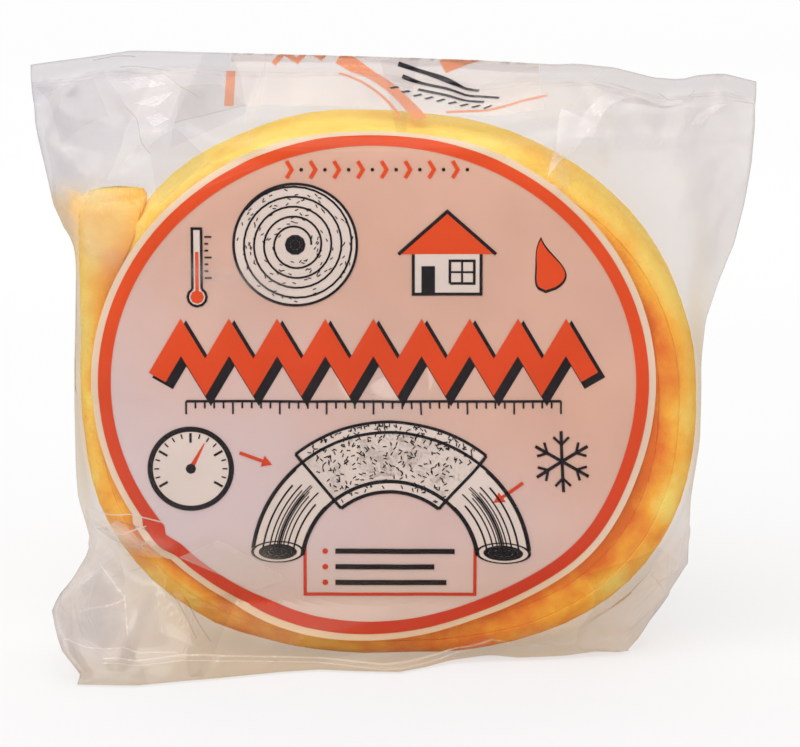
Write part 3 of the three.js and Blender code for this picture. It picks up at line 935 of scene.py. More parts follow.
# The side folds: height, x, and y from the roll's middle.
LEFT_FOLD = metres(
    (0, -152, -80), (3, -152.2, -78), (7.5, -150, -74), (14, -158.8, -66.6),
    (31, -166.2, -40.5), (42, -157.5, -24), (52.5, -149.4, -9), (63, -153, -1),
    (75, -156.7, 0), (90, -157.6, 0), (126, -157.8, 0), (196, -155.6, 0),
    (206, -157, 2), (213, -162, 5), (224, -167.2, 8), (243, -171.2, 12),
    (263, -176.2, 17), (283, -178, 20), (300, -178.5, 21),
)

RIGHT_FOLD = metres(
    (0, 119, -18), (6.5, 125.4, -14.8), (18, 134, -8), (41.5, 150.8, 0),
    (56, 151.2, 0), (75, 151.8, 0), (105, 156, 0), (146, 156, 0),
    (166, 158, 2), (186, 164.5, 4), (205, 172.2, 6), (224, 177, 9),
    (243, 180.3, 12), (263, 182.2, 17), (283, 182.5, 20), (300, 183, 21),
)

# How far the top edge drops: x, drop.
EDGE_DROP = metres(
    (-184, 8), (-155, 4), (-128, 0), (-10, 3), (45, 5), (83, 7), (93, 6.5),
    (112, 8.5), (132, 13.5), (145, 14.5), (153, 12.5), (166, 11.5), (184, 16),
)

# The flap on the floor: x, reach before the roll's face, height it starts at, lift.
FLAP = metres(
    (-165, 36, 58, 0), (-150, 40, 56, 0), (-123, 42, 46, 0), (-103, 35, 34, 0),
    (-83, 29, 22, 0), (-53, 18, 14, 0), (-34, 14, 12, 0), (-14, 18, 12, 0),
    (5, 20, 12, 0), (18, 11, 10, 0), (30, 2, 6, 1), (50, 0, 4, 3.5),
    (65, 0, 4, 1), (88, 0, 4, 1), (103, 0, 4, 4), (114, 0, 4, 2),
)

# Where the weld under the roll lies: x, and y from the roll's middle.
UNDER_WELD = metres((-154, -80), (-110, -40), (-50, 0), (60, 4), (112, -18))


@dataclass
class FilmBag:
    """The film tube round the roll, welded across at the top and under the roll."""

    form: RollForm
    finish: ClearFilm = field(default_factory=ClearFilm)
    around: int = 144
    rows: int = 60
    under_rows: int = 11
    skin: float = 0.0016
    # How much closer the film lies beside the loose end.
    snug: float = 0.0016
    # Over what height the film leaves the loose end's top, and how its corners are cut.
    tail_fade: float = 0.018
    tail_corner: float = 0.006
    # Up to what height the flap's lift reaches, and how fast the flap runs out.
    lift_height: float = 0.030
    flap_run: float = 1.15
    wall: float = 0.00012
    ripple: float = 0.00004
    floor_gap: float = 0.0012
    seal_rise: float = 0.0229
    seal_skirt: float = 0.008
    weld_half: float = 0.102
    setback: float = 0.020
    lay_flat: float = 0.368
    length: float = 0.381
    vent_radius: float = 0.003
    vent_aside: float = 0.070
    vent_rise: float = 0.060
    # Width, length over width, and height of the large and the small facets.
    facets: tuple = ((0.034, 1.4, 0.0062), (0.015, 1.3, 0.0017))
    # Way to the key lamp, by which facets get painted highlight or painted shade.
    light_way: tuple = (-0.45, -0.45, 0.77)
    glint_top: float = 0.095
    seed: int = 12
    # What building leaves for the prints and panes: the film before and after it crumples,
    # its outward normals, how free it is, its large facets and its creases.
    base: Array = field(init=False)
    grid: Array = field(init=False)
    outward: Array = field(init=False)
    free: Array = field(init=False)
    crumple: Crumple = field(init=False)
    ridges: list = field(init=False)

    @property
    def seal(self) -> float:
        """Height of the top weld."""
        return self.form.top + self.seal_rise

    @property
    def girth(self) -> float:
        """Length of the film round the tube."""
        return 2 * self.lay_flat

    def packed(self, z: float) -> list[Point]:
        """Give points around the roll and its loose end at a height, grown by the film's skin.

        Args:
            z: The height.

        Returns:
            Pairs of x and y.
        """
        form = self.form
        points = []
        for turn in np.linspace(0, math.pi / 2, 6):
            inset = form.rim * (1 - math.cos(turn))
            depth = form.half_depth - form.rim * (1 - math.sin(turn)) + self.skin
            for side in (-1, 1):
                chord = side * form.half_chord(z, self.skin - inset, side)
                if chord * side > 0:
                    points += [(chord, depth), (chord, -depth)]
        if form.centre_z < z < form.tail_top + self.tail_fade:
            past = max(z - form.tail_top - self.skin, 0) / self.tail_fade
            side = self.snug * eased(z, 0.150, 0.170) - form.half_width - 0.0002 - self.skin
            outer = mix(side, -form.half_chord(z, self.skin, -1), past)
            depth = form.half_depth + self.skin - past * form.rim
            cut = self.tail_corner
            points += [(outer, depth - cut), (outer, cut - depth)]
            points += [(outer + cut, depth), (outer + cut, -depth)]
        return points

    def roof(self, z: float) -> list[Point]:
        """Give points of the film between the roll's shoulder and the top weld, at a height.

        Args:
            z: The height.

        Returns:
            Pairs of x and y, none below the shoulder.
        """
        form = self.form
        spring = form.top - form.rim
        if z <= spring:
            return []
        share = min((z - spring) / (self.seal - spring), 1)
        chords = [form.half_chord(spring, 0, side) for side in (-1, 1)]
        left, right = (side * mix(chord, self.weld_half, share) for side, chord in zip((-1, 1), chords))
        points = []
        for side in (-1, 1):
            radius = form.rim + self.skin
            centre = side * (form.half_depth - form.rim)
            weld = self.setback + side * 0.0003
            run, rise = weld - centre, self.seal - spring
            leave = math.atan2(rise, run) - side * math.acos(radius / math.hypot(run, rise))
            leave_y = centre + radius * math.cos(leave)
            leave_z = spring + radius * math.sin(leave)
            if z < leave_z:
                y = centre + side * math.sqrt(radius**2 - (z - spring) ** 2)
            else:
                y = mix(leave_y, weld, min((z - leave_z) / (self.seal - leave_z), 1))
            points += [(left, y), (right, y)]
        return points

    @staticmethod
    def taut(points: list[Point]) -> Array:
        """Give the convex outline of the points as a closed loop, along the front first.

        Args:
            points: Pairs of x and y.

        Returns:
            The loop's corners, (corners, 2).
        """
        ordered = sorted(points)

        def chain(run: list[Point]) -> list[Point]:
            """Give the lower side of the outline, its last point left out."""
            kept: list = []
            for point in run:
                while len(kept) > 1:
                    (ax, ay), (bx, by) = kept[-2:]
                    if (bx - ax) * (point[1] - ay) - (by - ay) * (point[0] - ax) > 0:
                        break
                    kept.pop()
                kept.append(point)
            return kept[:-1]

        return np.array(chain(ordered) + chain(ordered[::-1]))

    @staticmethod
    def nearest(loop: Array, place: Point) -> float:
        """Give how far along a closed loop the point nearest to a place lies.

        Args:
            loop: The loop's corners.
            place: The place.

        Returns:
            The way from the loop's first corner.
        """
        ends = np.roll(loop, -1, 0)
        sides = ends - loop
        lengths = np.linalg.norm(sides, axis=1)
        along = ((np.array(place) - loop) * sides).sum(1) / np.maximum(lengths**2, 1e-18)
        along = np.clip(along, 0, 1)
        gaps = np.linalg.norm(loop + sides * along[:, None] - place, axis=1)
        best = int(np.argmin(gaps))
        return float(lengths[:best].sum() + along[best] * lengths[best])

    def ring(self, z: float) -> Array:
        """Give one ring of the film, (around, 3), from the left fold along the front.

        The two side folds and the middles of the front and the back split the ring into
        quarters, and the points of each quarter are evenly spaced, so a column of the grid
        keeps to its place on the film.

        Args:
            z: The height.

        Returns:
            The ring's points.
        """
        quarter = self.around // 4
        level = min(z, self.seal)
        left, right = (tuple(looked_up(table, level)) for table in (LEFT_FOLD, RIGHT_FOLD))
        loop = self.taut(self.packed(level) + self.roof(level) + [left, right])
        lengths = np.linalg.norm(np.roll(loop, -1, 0) - loop, axis=1)
        girth = lengths.sum()
        stops = [self.nearest(loop, place) for place in (left, (0, -0.2), right, (0, 0.2))]
        goals = []
        for start, end in zip(stops, stops[1:] + stops[:1]):
            goals.append(start + (end - start) % girth * np.arange(quarter) / quarter)
        goals = np.concatenate(goals) % girth
        marks = np.concatenate([[0], np.cumsum(lengths)])
        closed = np.vstack([loop, loop[:1]])
        x, y = (np.interp(goals, marks, closed[:, k]) for k in (0, 1))
        drop = looked_up(EDGE_DROP, x)[0] * eased(z, self.form.top, self.seal)
        reach, start, lift = looked_up(FLAP, x)
        lift = lift * np.clip(1 - z / self.lift_height, 0, 1)
        lie = np.clip(1 - z / start, 0, 1) ** self.flap_run
        face = -self.form.half_depth - self.skin
        on_front = np.clip(y / face, 0, 1) * (np.arange(self.around) < 2 * quarter)
        y = y + on_front * lie * (face - reach - y)
        return np.stack([x, y, z - drop + lift * on_front], -1)

    @staticmethod
    def welded(grid: Array) -> Array:
        """Bring the front and the back together in a grid's first and last row."""
        mirror = -np.arange(grid.shape[1]) % grid.shape[1]
        for row in (0, -1):
            grid[row] = (grid[row] + grid[row][mirror]) / 2
        return grid

    def shape(self) -> Array:
        """Give the film's grid, (rows, around, 3), from the weld under the roll to the top lip.

        Returns:
            The grid.
        """
        body = [self.ring(z) for z in np.linspace(self.floor_gap, self.seal + self.seal_skirt, self.rows)]
        x, y, z = body[0].T
        (weld,) = looked_up(UNDER_WELD, x)
        shares = np.linspace(0, 1, self.under_rows + 1)[:-1]
        under = [np.stack([x, mix(weld, y, s), mix(0.5 * self.floor_gap, z, s)], -1) for s in shares]
        grid = self.welded(np.array(under + body))
        grid[..., 1] += self.form.centre_y
        log.info("film grid %s", grid.shape)
        return grid

    @staticmethod
    def finer(grid: Array) -> Array:
        """Double a grid's points: on a smooth curve around, straight up the film.

        Args:
            grid: The film's points, (rows, around, 3).

        Returns:
            The finer grid.
        """
        before, after, later = (np.roll(grid, shift, 1) for shift in (1, -1, -2))
        middle = (9 * (grid + after) - before - later) / 16
        around = np.stack([grid, middle], 2).reshape(len(grid), -1, 3)
        out = np.empty((2 * len(grid) - 1, *around.shape[1:]))
        out[0::2] = around
        out[1::2] = (around[:-1] + around[1:]) / 2
        return out

    @staticmethod
    def faces(rows: int, around: int, vents: list[tuple[int, int]]) -> list[list[int]]:
        """Give the grid's faces, less the vents, with its first and last row closed front to back.

        Args:
            rows: The grid's rows.
            around: The points of each row.
            vents: Row and column of each vent.

        Returns:
            The corners of each face.
        """
        mirror = -np.arange(around) % around
        index = np.arange(rows * around).reshape(rows, around)
        for row in (0, rows - 1):
            index[row] = np.minimum(index[row], index[row][mirror])
        found = quads(index)
        kept = np.ones(found.shape[:2], bool)
        for row, column in vents:
            kept[row - 1 : row + 1, column - 1 : column + 1] = False
        return [list(dict.fromkeys(quad)) for quad in found[kept].tolist()]

    def slack(self, grid: Array) -> Array:
        """Say how free the film is to crumple at each point, 0 to 1.

        Args:
            grid: The film's points, (rows, around, 3).

        Returns:
            The share for each point.
        """
        x, z = grid[..., 0], grid[..., 2]
        middle = 1 - eased(np.abs(x + 0.01), 0.050, 0.105)
        high = eased(z, self.form.top - 0.020 + 0.020 * middle, self.form.top + 0.004 + 0.008 * middle)
        aside = np.maximum(eased(-x, 0.070, 0.120), eased(x, 0.085, 0.125))
        low = 1 - eased(z, 0.004 + 0.026 * aside, 0.012 + 0.053 * aside)
        ears = eased(np.abs(x) / self.form.half_width, 0.88, 1.04)
        ears = ears * eased(z, np.where(x < 0, 0.204, 0.17), np.where(x < 0, 0.230, 0.21))
        free = np.clip(0.12 + 0.62 * np.maximum(high, ears) + (0.25 + 0.67 * aside) * low, 0, 1)
        free = free * eased(z, 0.001, 0.008)
        free[-4:] *= 0.15
        return free

    @staticmethod
    def creased(grid: Array) -> tuple[Array, Array]:
        """Give the height that the creases add, and how near a crease lies, 0 to 1.

        Args:
            grid: The film's points, (rows, around, 3).

        Returns:
            The height and the nearness for each point.
        """
        spots = grid[..., [0, 2]]
        front = np.arange(grid.shape[1]) <= grid.shape[1] // 2
        height, near = np.zeros(grid.shape[:2]), np.zeros(grid.shape[:2])
        for x0, z0, x1, z1, half, rise in CREASES:
            start, way = np.array([x0, z0]), np.array([x1 - x0, z1 - z0])
            along = np.clip(((spots - start) @ way) / (way @ way), 0, 1)
            gap = np.linalg.norm(spots - start - along[..., None] * way, axis=-1)
            fade = np.sqrt(np.clip(1 - (2 * along - 1) ** 4, 0, 1))
            tent = np.clip(1 - gap / half, 0, 1) * front * fade
            height = height + rise * tent
            near = np.maximum(near, tent)
        return height, near

    def beyond(self, grid: Array) -> Array:
        """Say how far outside the roll's outline the film lies, 0 over its faces."""
        form = self.form
        x, z = grid[..., 0], grid[..., 2] - form.centre_z
        power = form.squareness(x, z)
        reach = np.abs(x / form.half_width) ** power + np.abs(z / form.half_height) ** power
        return np.clip((reach ** (1 / power) - 1) * form.half_height, 0, None)

    def bounce_share(self, grid: Array) -> Array:
        """Say how much painted light bounced from the wool, and colour of loose wool in the fold, the film
        takes on, 0 to 1.

        Args:
            grid: The film's points, (rows, around, 3).

        Returns:
            The share for each point.
        """
        x, z = grid[..., 0], grid[..., 2]
        rise = z - self.form.centre_z
        # Painted bounce: the film takes on the wool's warm light near it, low down, beside the loose end
        # and at the foot.
        warm = np.exp(-self.beyond(grid) / 0.011)
        low = 1 - eased(z, 0.010, 0.075)
        beside = eased(-x, 0.146, 0.150) * eased(rise, 0.05, 0.07) * (1 - eased(rise, 0.085, 0.105))
        side = eased(np.abs(x) / self.form.half_width, 0.97, 1.0) * (1 - eased(z, 0.20, 0.24))
        foot = 1 - eased(z, 0.006, 0.018)
        cast = warm * (0.30 + 0.75 * low + 0.9 * side) + 0.22 * low + 0.75 * beside + 0.42 * foot
        cast = cast + 0.9 * self.wisp(grid) + 0.13 * eased(x, 0.04, 0.10) * eased(z, 0.19, 0.23)
        return np.clip(cast, 0, 1)

    @staticmethod
    def wisp(grid: Array) -> Array:
        """Say where loose wool lies in the fold beside the loose end, 0 to 1."""
        x, z = grid[..., 0], grid[..., 2]
        return eased(-x, 0.147, 0.153) * eased(z, 0.196, 0.208) * (1 - eased(z, 0.220, 0.232))

    def over_tail(self, grid: Array) -> Array:
        """Say where the film lies dull over the loose end, outside the panel, 0 to 1."""
        x, z = grid[..., 0], grid[..., 2]
        over = eased(-x, 0.116, 0.130) * eased(z, 0.130, 0.160) * (1 - eased(z, 0.226, 0.236))
        panel = np.hypot((x + 0.0076) / 0.1385, (z - self.form.centre_z - 0.007) / 0.128)
        return over * eased(panel, 1.0, 1.03)

    def vents(self, grid: Array) -> list[tuple[int, int]]:
        """Round the two vents in the back wall's grid, and give their middle rows and columns.

        Args:
            grid: The film's points, (rows, around, 3). Changed in place.

        Returns:
            The rows and columns.
        """
        half = grid.shape[1] // 2
        row = int(np.argmin(np.abs(grid[:, 3 * half // 2, 2] - self.form.centre_z - self.vent_rise)))
        back = grid[row, half:, 0]
        middles = [(row, half + int(np.argmin(np.abs(back - side * self.vent_aside)))) for side in (-1, 1)]
        for r, c in middles:
            middle = grid[r, c].copy()
            block = grid[r - 1 : r + 2, c - 1 : c + 2]
            block[:] = middle + unit(block - middle) * self.vent_radius
        return middles

    @staticmethod
    def normals(grid: Array) -> Array:
        """Give the outward normals of a ring grid."""
        across = np.roll(grid, -1, 1) - np.roll(grid, 1, 1)
        return unit(np.cross(across, np.gradient(grid, axis=0)))

    def lift(self, slack: Array) -> Array:
        """Draw the facets, and give how far they lift each point of a film that is free.

        Args:
            slack: How free each point is.

        Returns:
            The lift for each point.
        """
        rows, around = slack.shape
        columns = np.arange(around)
        down = np.linspace(0, self.length, rows)
        flat = np.stack(np.meshgrid(columns * self.girth / around, down), -1)
        drawn = [
            Crumple((self.girth, self.length), width, stretch, self.seed + k)
            for k, (width, stretch, _) in enumerate(self.facets)
        ]
        self.crumple = drawn[0]
        self.ridges = [(*ridge, weight) for one, weight in zip(drawn, (1.0, 0.6)) for ridge in one.ridges()]
        lift = sum(height * one.height(flat) for one, (_, _, height) in zip(drawn, self.facets))
        from_fold = np.minimum(columns % (around // 2), -columns % (around // 2)) * self.girth / around
        return lift * (1 - 0.9 * np.exp(-((from_fold / 0.007) ** 2)))

    def crumpled(self, base: Array, rise: Array, slack: Array) -> Array:
        """Crumple the film's grid where it is free.

        Args:
            base: The smooth grid.
            rise: The height that the creases add.
            slack: How free the film is to crumple.

        Returns:
            The crumpled grid, kept off the floor and closed at both welds.
        """
        edges = eased(base[..., 2], 0.001, 0.006)
        edges[-4:] *= 0.3
        ripples = Lumps(self.seed + 30, 0.012).at(base) * self.ripple * (0.2 + slack) * edges
        move = self.lift(slack) * slack + rise * edges + ripples
        move = np.maximum(move, -0.0008 - 0.5 * self.beyond(base))
        grid = base + self.normals(base) * move[..., None]
        grid[..., 2] = np.maximum(grid[..., 2], 0.0003)
        return self.welded(grid)

    def build(self) -> Object:
        """Make the film.

        Returns:
            The piece that stands for the frame's bag.
        """
        self.base = base = self.finer(self.shape())
        rows, around = base.shape[:2]
        self.free = slack = self.slack(base)
        rise, crease = self.creased(base)
        self.grid = grid = self.crumpled(base, rise, slack)
        vents = self.vents(grid)
        self.outward = self.normals(grid)
        # How far each facet turns to the key lamp, for painted highlight and shade.
        tilt = ((self.outward - self.normals(base)) * self.light_way).sum(-1)
        tone = np.clip(0.5 + 3.0 * tilt, 0, 1)
        piece = new_mesh("film_bag_skin", grid.reshape(-1, 3), self.faces(rows, around, vents))
        look, free = self.finish, np.maximum(slack, 0.5 * crease)
        over = self.over_tail(base)
        thick = over * (0.03 + 0.06 * eased(base[..., 2], 0.195, 0.226)) + 0.07 * self.wisp(base)
        store(piece, look.slack, free)
        # Painted light bounced from the wool.
        store(piece, look.bounce_and_wisp, self.bounce_share(base))
        # Painted highlight goes into the milk, painted shade into the grey.
        store(piece, look.haze_and_sheen, look.milk_and_sheen(grid, tone, free, crease) + thick)
        store(piece, look.grey, np.maximum(np.clip((0.70 - tone) / 0.40, 0, 1) * free, 0.75 * over))
        down = np.linspace(self.seal + self.seal_skirt, 0, rows)[:, None]
        store(piece, look.climb, down + 0 * slack)
        # Drop the spare vertices of the closed rows and the vents.
        edit_all(piece, bpy.ops.mesh.delete_loose, use_verts=True, use_edges=True, use_faces=False)
        shell = piece.modifiers.new("wall", "SOLIDIFY")
        shell.thickness = self.wall
        shell.offset = -1
        pick(piece)
        bpy.ops.object.modifier_apply(modifier="wall")
        dress(piece, look.build())
        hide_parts("film_bag")
        return piece

    def cell(self, u: float, v: float) -> tuple[int, int] | None:
        """Give the grid's row and column at a place on the flattened tube, or None off it."""
        rows, around = self.grid.shape[:2]
        if 0 < u < self.girth and 0 < v < self.length:
            return int(v / self.length * (rows - 1)), int(u / self.girth * around)
        return None

    def on_flat(self, u: float, v: float, inset: float) -> Array:
        """Give the point inside the film at a place on the flattened tube.

        Args:
            u: How far round the tube it lies.
            v: How far up the tube it lies.
            inset: How far inside the outer face the point lies.

        Returns:
            The point.
        """
        rows, around = self.grid.shape[:2]
        column = u / self.girth * around
        row = np.clip(v / self.length * (rows - 1), 0, rows - 1.001)
        r, c = int(row), math.floor(column)
        sides = [c % around, (c + 1) % around]
        spots, ways = (
            mix(*(mix(*near[sides], column - c) for near in whole[r : r + 2]), row - r)
            for whole in (self.grid, self.outward)
        )
        return spots - ways * inset

    def glints(self, inset: float = 0.0003, cuts: int = 7) -> Object:
        """Draw painted glints on the sharpest creases as thin, pale, tapered faces just inside the film.

        Args:
            inset: How far inside the film's outer face they lie.
            cuts: How many points lie along each.

        Returns:
            The creases as one piece.
        """
        rng = np.random.default_rng(self.seed + 7)
        points, faces = [], []
        for start, end, bend, weight in self.ridges:
            start, end = np.array(start), np.array(end)
            spot = self.cell(*(start + end) / 2)
            if spot is None:
                continue
            strength = self.free[spot] * weight * bend
            if rng.uniform() > 0.7 or strength < 0.42 or self.grid[spot][2] > self.glint_top:
                continue
            way = unit(end - start)
            side = np.array([-way[1], way[0]])
            half = min(0.00016 + 0.00022 * strength, 0.00045)
            first = len(points)
            for share in np.linspace(0.04, 0.96, cuts):
                off = side * half * math.sin(math.pi * share) ** 0.7 + 1e-5
                for sign in (-1, 1):
                    points.append(self.on_flat(*(mix(start, end, share) + sign * off), inset))
            faces += [(a, a + 2, a + 3, a + 1) for a in range(first, len(points) - 2, 2)]
        piece = new_mesh("film_crease_glints", np.array(points), faces)
        return dress(piece, Ink("crease_glint_white", srgb(252, 250, 250), 0.24).build())

    def panes(self, pale: bool, inset: float, cuts: int = 6) -> Object:
        """Lay a thin pane of painted highlight inside each large facet that turns to the light, or of
        painted shade inside each that turns from it.

        Args:
            pale: Whether the facets that turn to the light are laid, not those that turn from it.
            inset: How far inside the film's outer face the panes lie.
            cuts: How many faces lie along a pane's side.

        Returns:
            The panes as one piece.
        """
        crumple, height = self.crumple, self.facets[0][2]
        points, faces = [], []
        for face in crumple.faces:
            corners = np.array([crumple.lifted[k] for k in face]) * (1, crumple.stretch, 1)
            u, v = corners[:, :2].mean(0)
            spot = self.cell(u, v)
            if spot is None or u > self.lay_flat or self.free[spot] < 0.40:
                continue
            normal = np.cross(corners[1] - corners[0], corners[2] - corners[0])
            lean = normal[:2] / normal[2] * height
            turn = (lean[0] * self.light_way[0] + lean[1] * self.light_way[2]) * self.free[spot]
            if (turn if pale else -turn) < 0.035:
                continue
            index = {}
            for i in range(cuts + 1):
                for j in range(cuts + 1 - i):
                    index[i, j] = len(points)
                    share = np.array([i, j, cuts - i - j]) / cuts
                    points.append(self.on_flat(*(share @ corners[:, :2]), inset))
            for i, j in index:
                if i + j < cuts:
                    faces.append((index[i, j], index[i + 1, j], index[i, j + 1]))
                if i + j < cuts - 1:
                    faces.append((index[i + 1, j], index[i + 1, j + 1], index[i, j + 1]))
        piece = new_mesh("film_facets_painted_highlight" if pale else "film_facets_painted_shade", np.array(points), faces)
        return dress(piece, self.finish.pane(pale))

# ------------------------------------------------------------------ printing


class FilmChart:
    """Maps a flat place on the front of the bag to the film's real surface."""

    def __init__(self, bag: FilmBag, inset: float) -> None:
        """Prepare the map.

        Args:
            bag: The finished bag.
            inset: How far inside the film's outer face the mapped points lie.
        """
        half = bag.grid.shape[1] // 2
        base = bag.base[:, : half + 1]
        real = (bag.grid - bag.outward * inset)[:, : half + 1]
        middle = base[:, half // 2]
        steps = np.diff(middle, axis=0)
        upright = eased(middle[1:, 2], 0.050, 0.070)
        steps = mix(np.abs(steps[:, 2]) + 1e-5, np.linalg.norm(steps, axis=1), upright)
        climb = np.concatenate([[0], np.cumsum(steps)])
        climb = climb - np.interp(bag.form.centre_z, middle[:, 2], climb)
        x = base[..., 0]
        self.chart = np.stack([x, climb[:, None] + 0 * x, 0 * x], -1).reshape(-1, 3)
        self.real = real.reshape(-1, 3)
        index = np.arange(x.size).reshape(x.shape)
        a, b, c, d = index[:-1, :-1], index[:-1, 1:], index[1:, 1:], index[1:, :-1]
        self.tris = np.stack([a, b, c, a, c, d], -1).reshape(-1, 3).tolist()
        self.tree = BVHTree.FromPolygons([Vector(p) for p in self.chart], self.tris)

    def at(self, x: float, rise: float) -> Vector:
        """Give the point inside the film at a flat place: x, and height over the roll's axis."""
        spot, _, face, _ = self.tree.find_nearest(Vector((x, rise, 0.0)))
        corners = self.tris[face]
        flat, real = ([Vector(points[k]) for k in corners] for points in (self.chart, self.real))
        return geometry.barycentric_transform(spot, *flat, *real)


class InkTone(Enum):
    """The inks, the weld, and the painted glints, highlight, glare and shade in the film, each with its
    inset from the film's outer face in metres.
    """

    # The weld lines, which also paint glints, then painted crease shade, painted highlight, painted glare
    # and painted shade panes.
    WELD = 0.00015
    CREASE = 0.00017
    GLEAM = 0.00018
    STREAK = 0.000185
    DIM = 0.00019
    BLACK = 0.00020
    ORANGE = 0.00028
    PALE = 0.00032
    WHITE = 0.00036
    SHADE = 0.00044
    CREAM = 0.00052
    GROUND = 0.00060
    VEIL = 0.00068


# The foot's weld, drawn pale with a painted highlight along it: how much lower it lies, its width, then x
# and height over the floor in turn.
SEAM = (-140, 14, -103, 12.7, -50, 8, -3, 4.0, 25, 5.2, 40, 7.6, 51, 10.5)
FOOT_WELD = (
    (0, 0.8, SEAM),
    (2.2, 0.5, SEAM[:-2]),
    (0, 0.5, (-159, 21, -146, 18.5, -128, 18, -104, 14)),
    (0, 0.5, (51, 10.5, 66, 6.5, 84, 5.0)),
)
# Painted lines in the film, pale glints and dark crease shade: ink, width, and rows of x and height over
# the roll's axis in turn.
FILM_LINES = (
    (InkTone.WELD, 0.7, (
        (-149, -60, -128, -58, -112, -62), (-146, -66, -132, -68, -120, -64),
        (-141, -73, -126, -75, -118, -71), (-144, -88, -131, -98, -128, -112),
        (-152, -104, -131, -99), (112, -112, 122, -104, 136, -90),
    )),
    (InkTone.CREASE, 0.55, (
        (-147, 196, -136, 196.5, -126, 195), (-134, 190, -118, 189, -108, 186),
        (-142, 186, -128, 184.5, -112, 184, -102, 168, -94, 162),
        (-130, 152, -124, 140, -122, 128, -117, 118), (-104, 138, -88, 148, -70, 158),
        (86, 186, 96, 181, 108, 184, 124, 179), (134, 190, 142, 184, 148, 184, 152, 190),
        (-133, -62, -122, -65, -110, -71), (-108, -98, -102, -107, -95, -117),
        (-102, -100, -95, -110, -88, -118), (104, 189, 120, 188), (143, 187, 148, 176),
    )),
)
# Painted panes of glare, highlight and shade in the film: ink, and rows of four corners.
FILM_PANES = (
    (InkTone.STREAK, (
        (88, 128, 98, 128, 118, 176, 108, 176), (148, 131, 155, 131, 170, 159, 162, 159),
        (77, 110, 92, 126, 99, 134, 84, 150), (-133, 176, -122, 181, -110, 172, -126, 169),
        (-126, 156, -116, 163, -106, 165, -115, 152), (-120, 141, -113, 147, -107, 141, -115, 134),
    )),
    (InkTone.GLEAM, (
        (-147, -72, -126, -80, -111, -80, -134, -61), (-145, -70, -130, -76, -118, -76, -136, -62),
        (-104, -80, -66, -97, -50, -91, -84, -71), (-118, -92, -100, -110, -96, -120, -112, -112),
        (-142, 186, -112, 184, -102, 168, -130, 152), (-130, 152, -102, 168, -108, 132, -122, 128),
    )),
    (InkTone.DIM, (
        (-176, 182, -146, 178, -138, 140, -160, 120), (-102, 168, -84, 176, -70, 158, -104, 138),
        (-118, 122, -104, 134, -88, 118, -112, 96), (96, 186, 134, 176, 128, 150, 112, 168),
        (144, 188, 152, 186, 150, 168, 146, 168),
    )),
)


def polar(centre: Point, reach: float, angle: float, squash: float = 1.0) -> Point:
    """Give the point at a reach from a centre and at an angle in radians."""
    return centre[0] + reach * math.cos(angle), centre[1] + squash * reach * math.sin(angle)


def paired(row: tuple) -> list[Point]:
    """Split a row of numbers into points."""
    return list(zip(row[::2], row[1::2]))


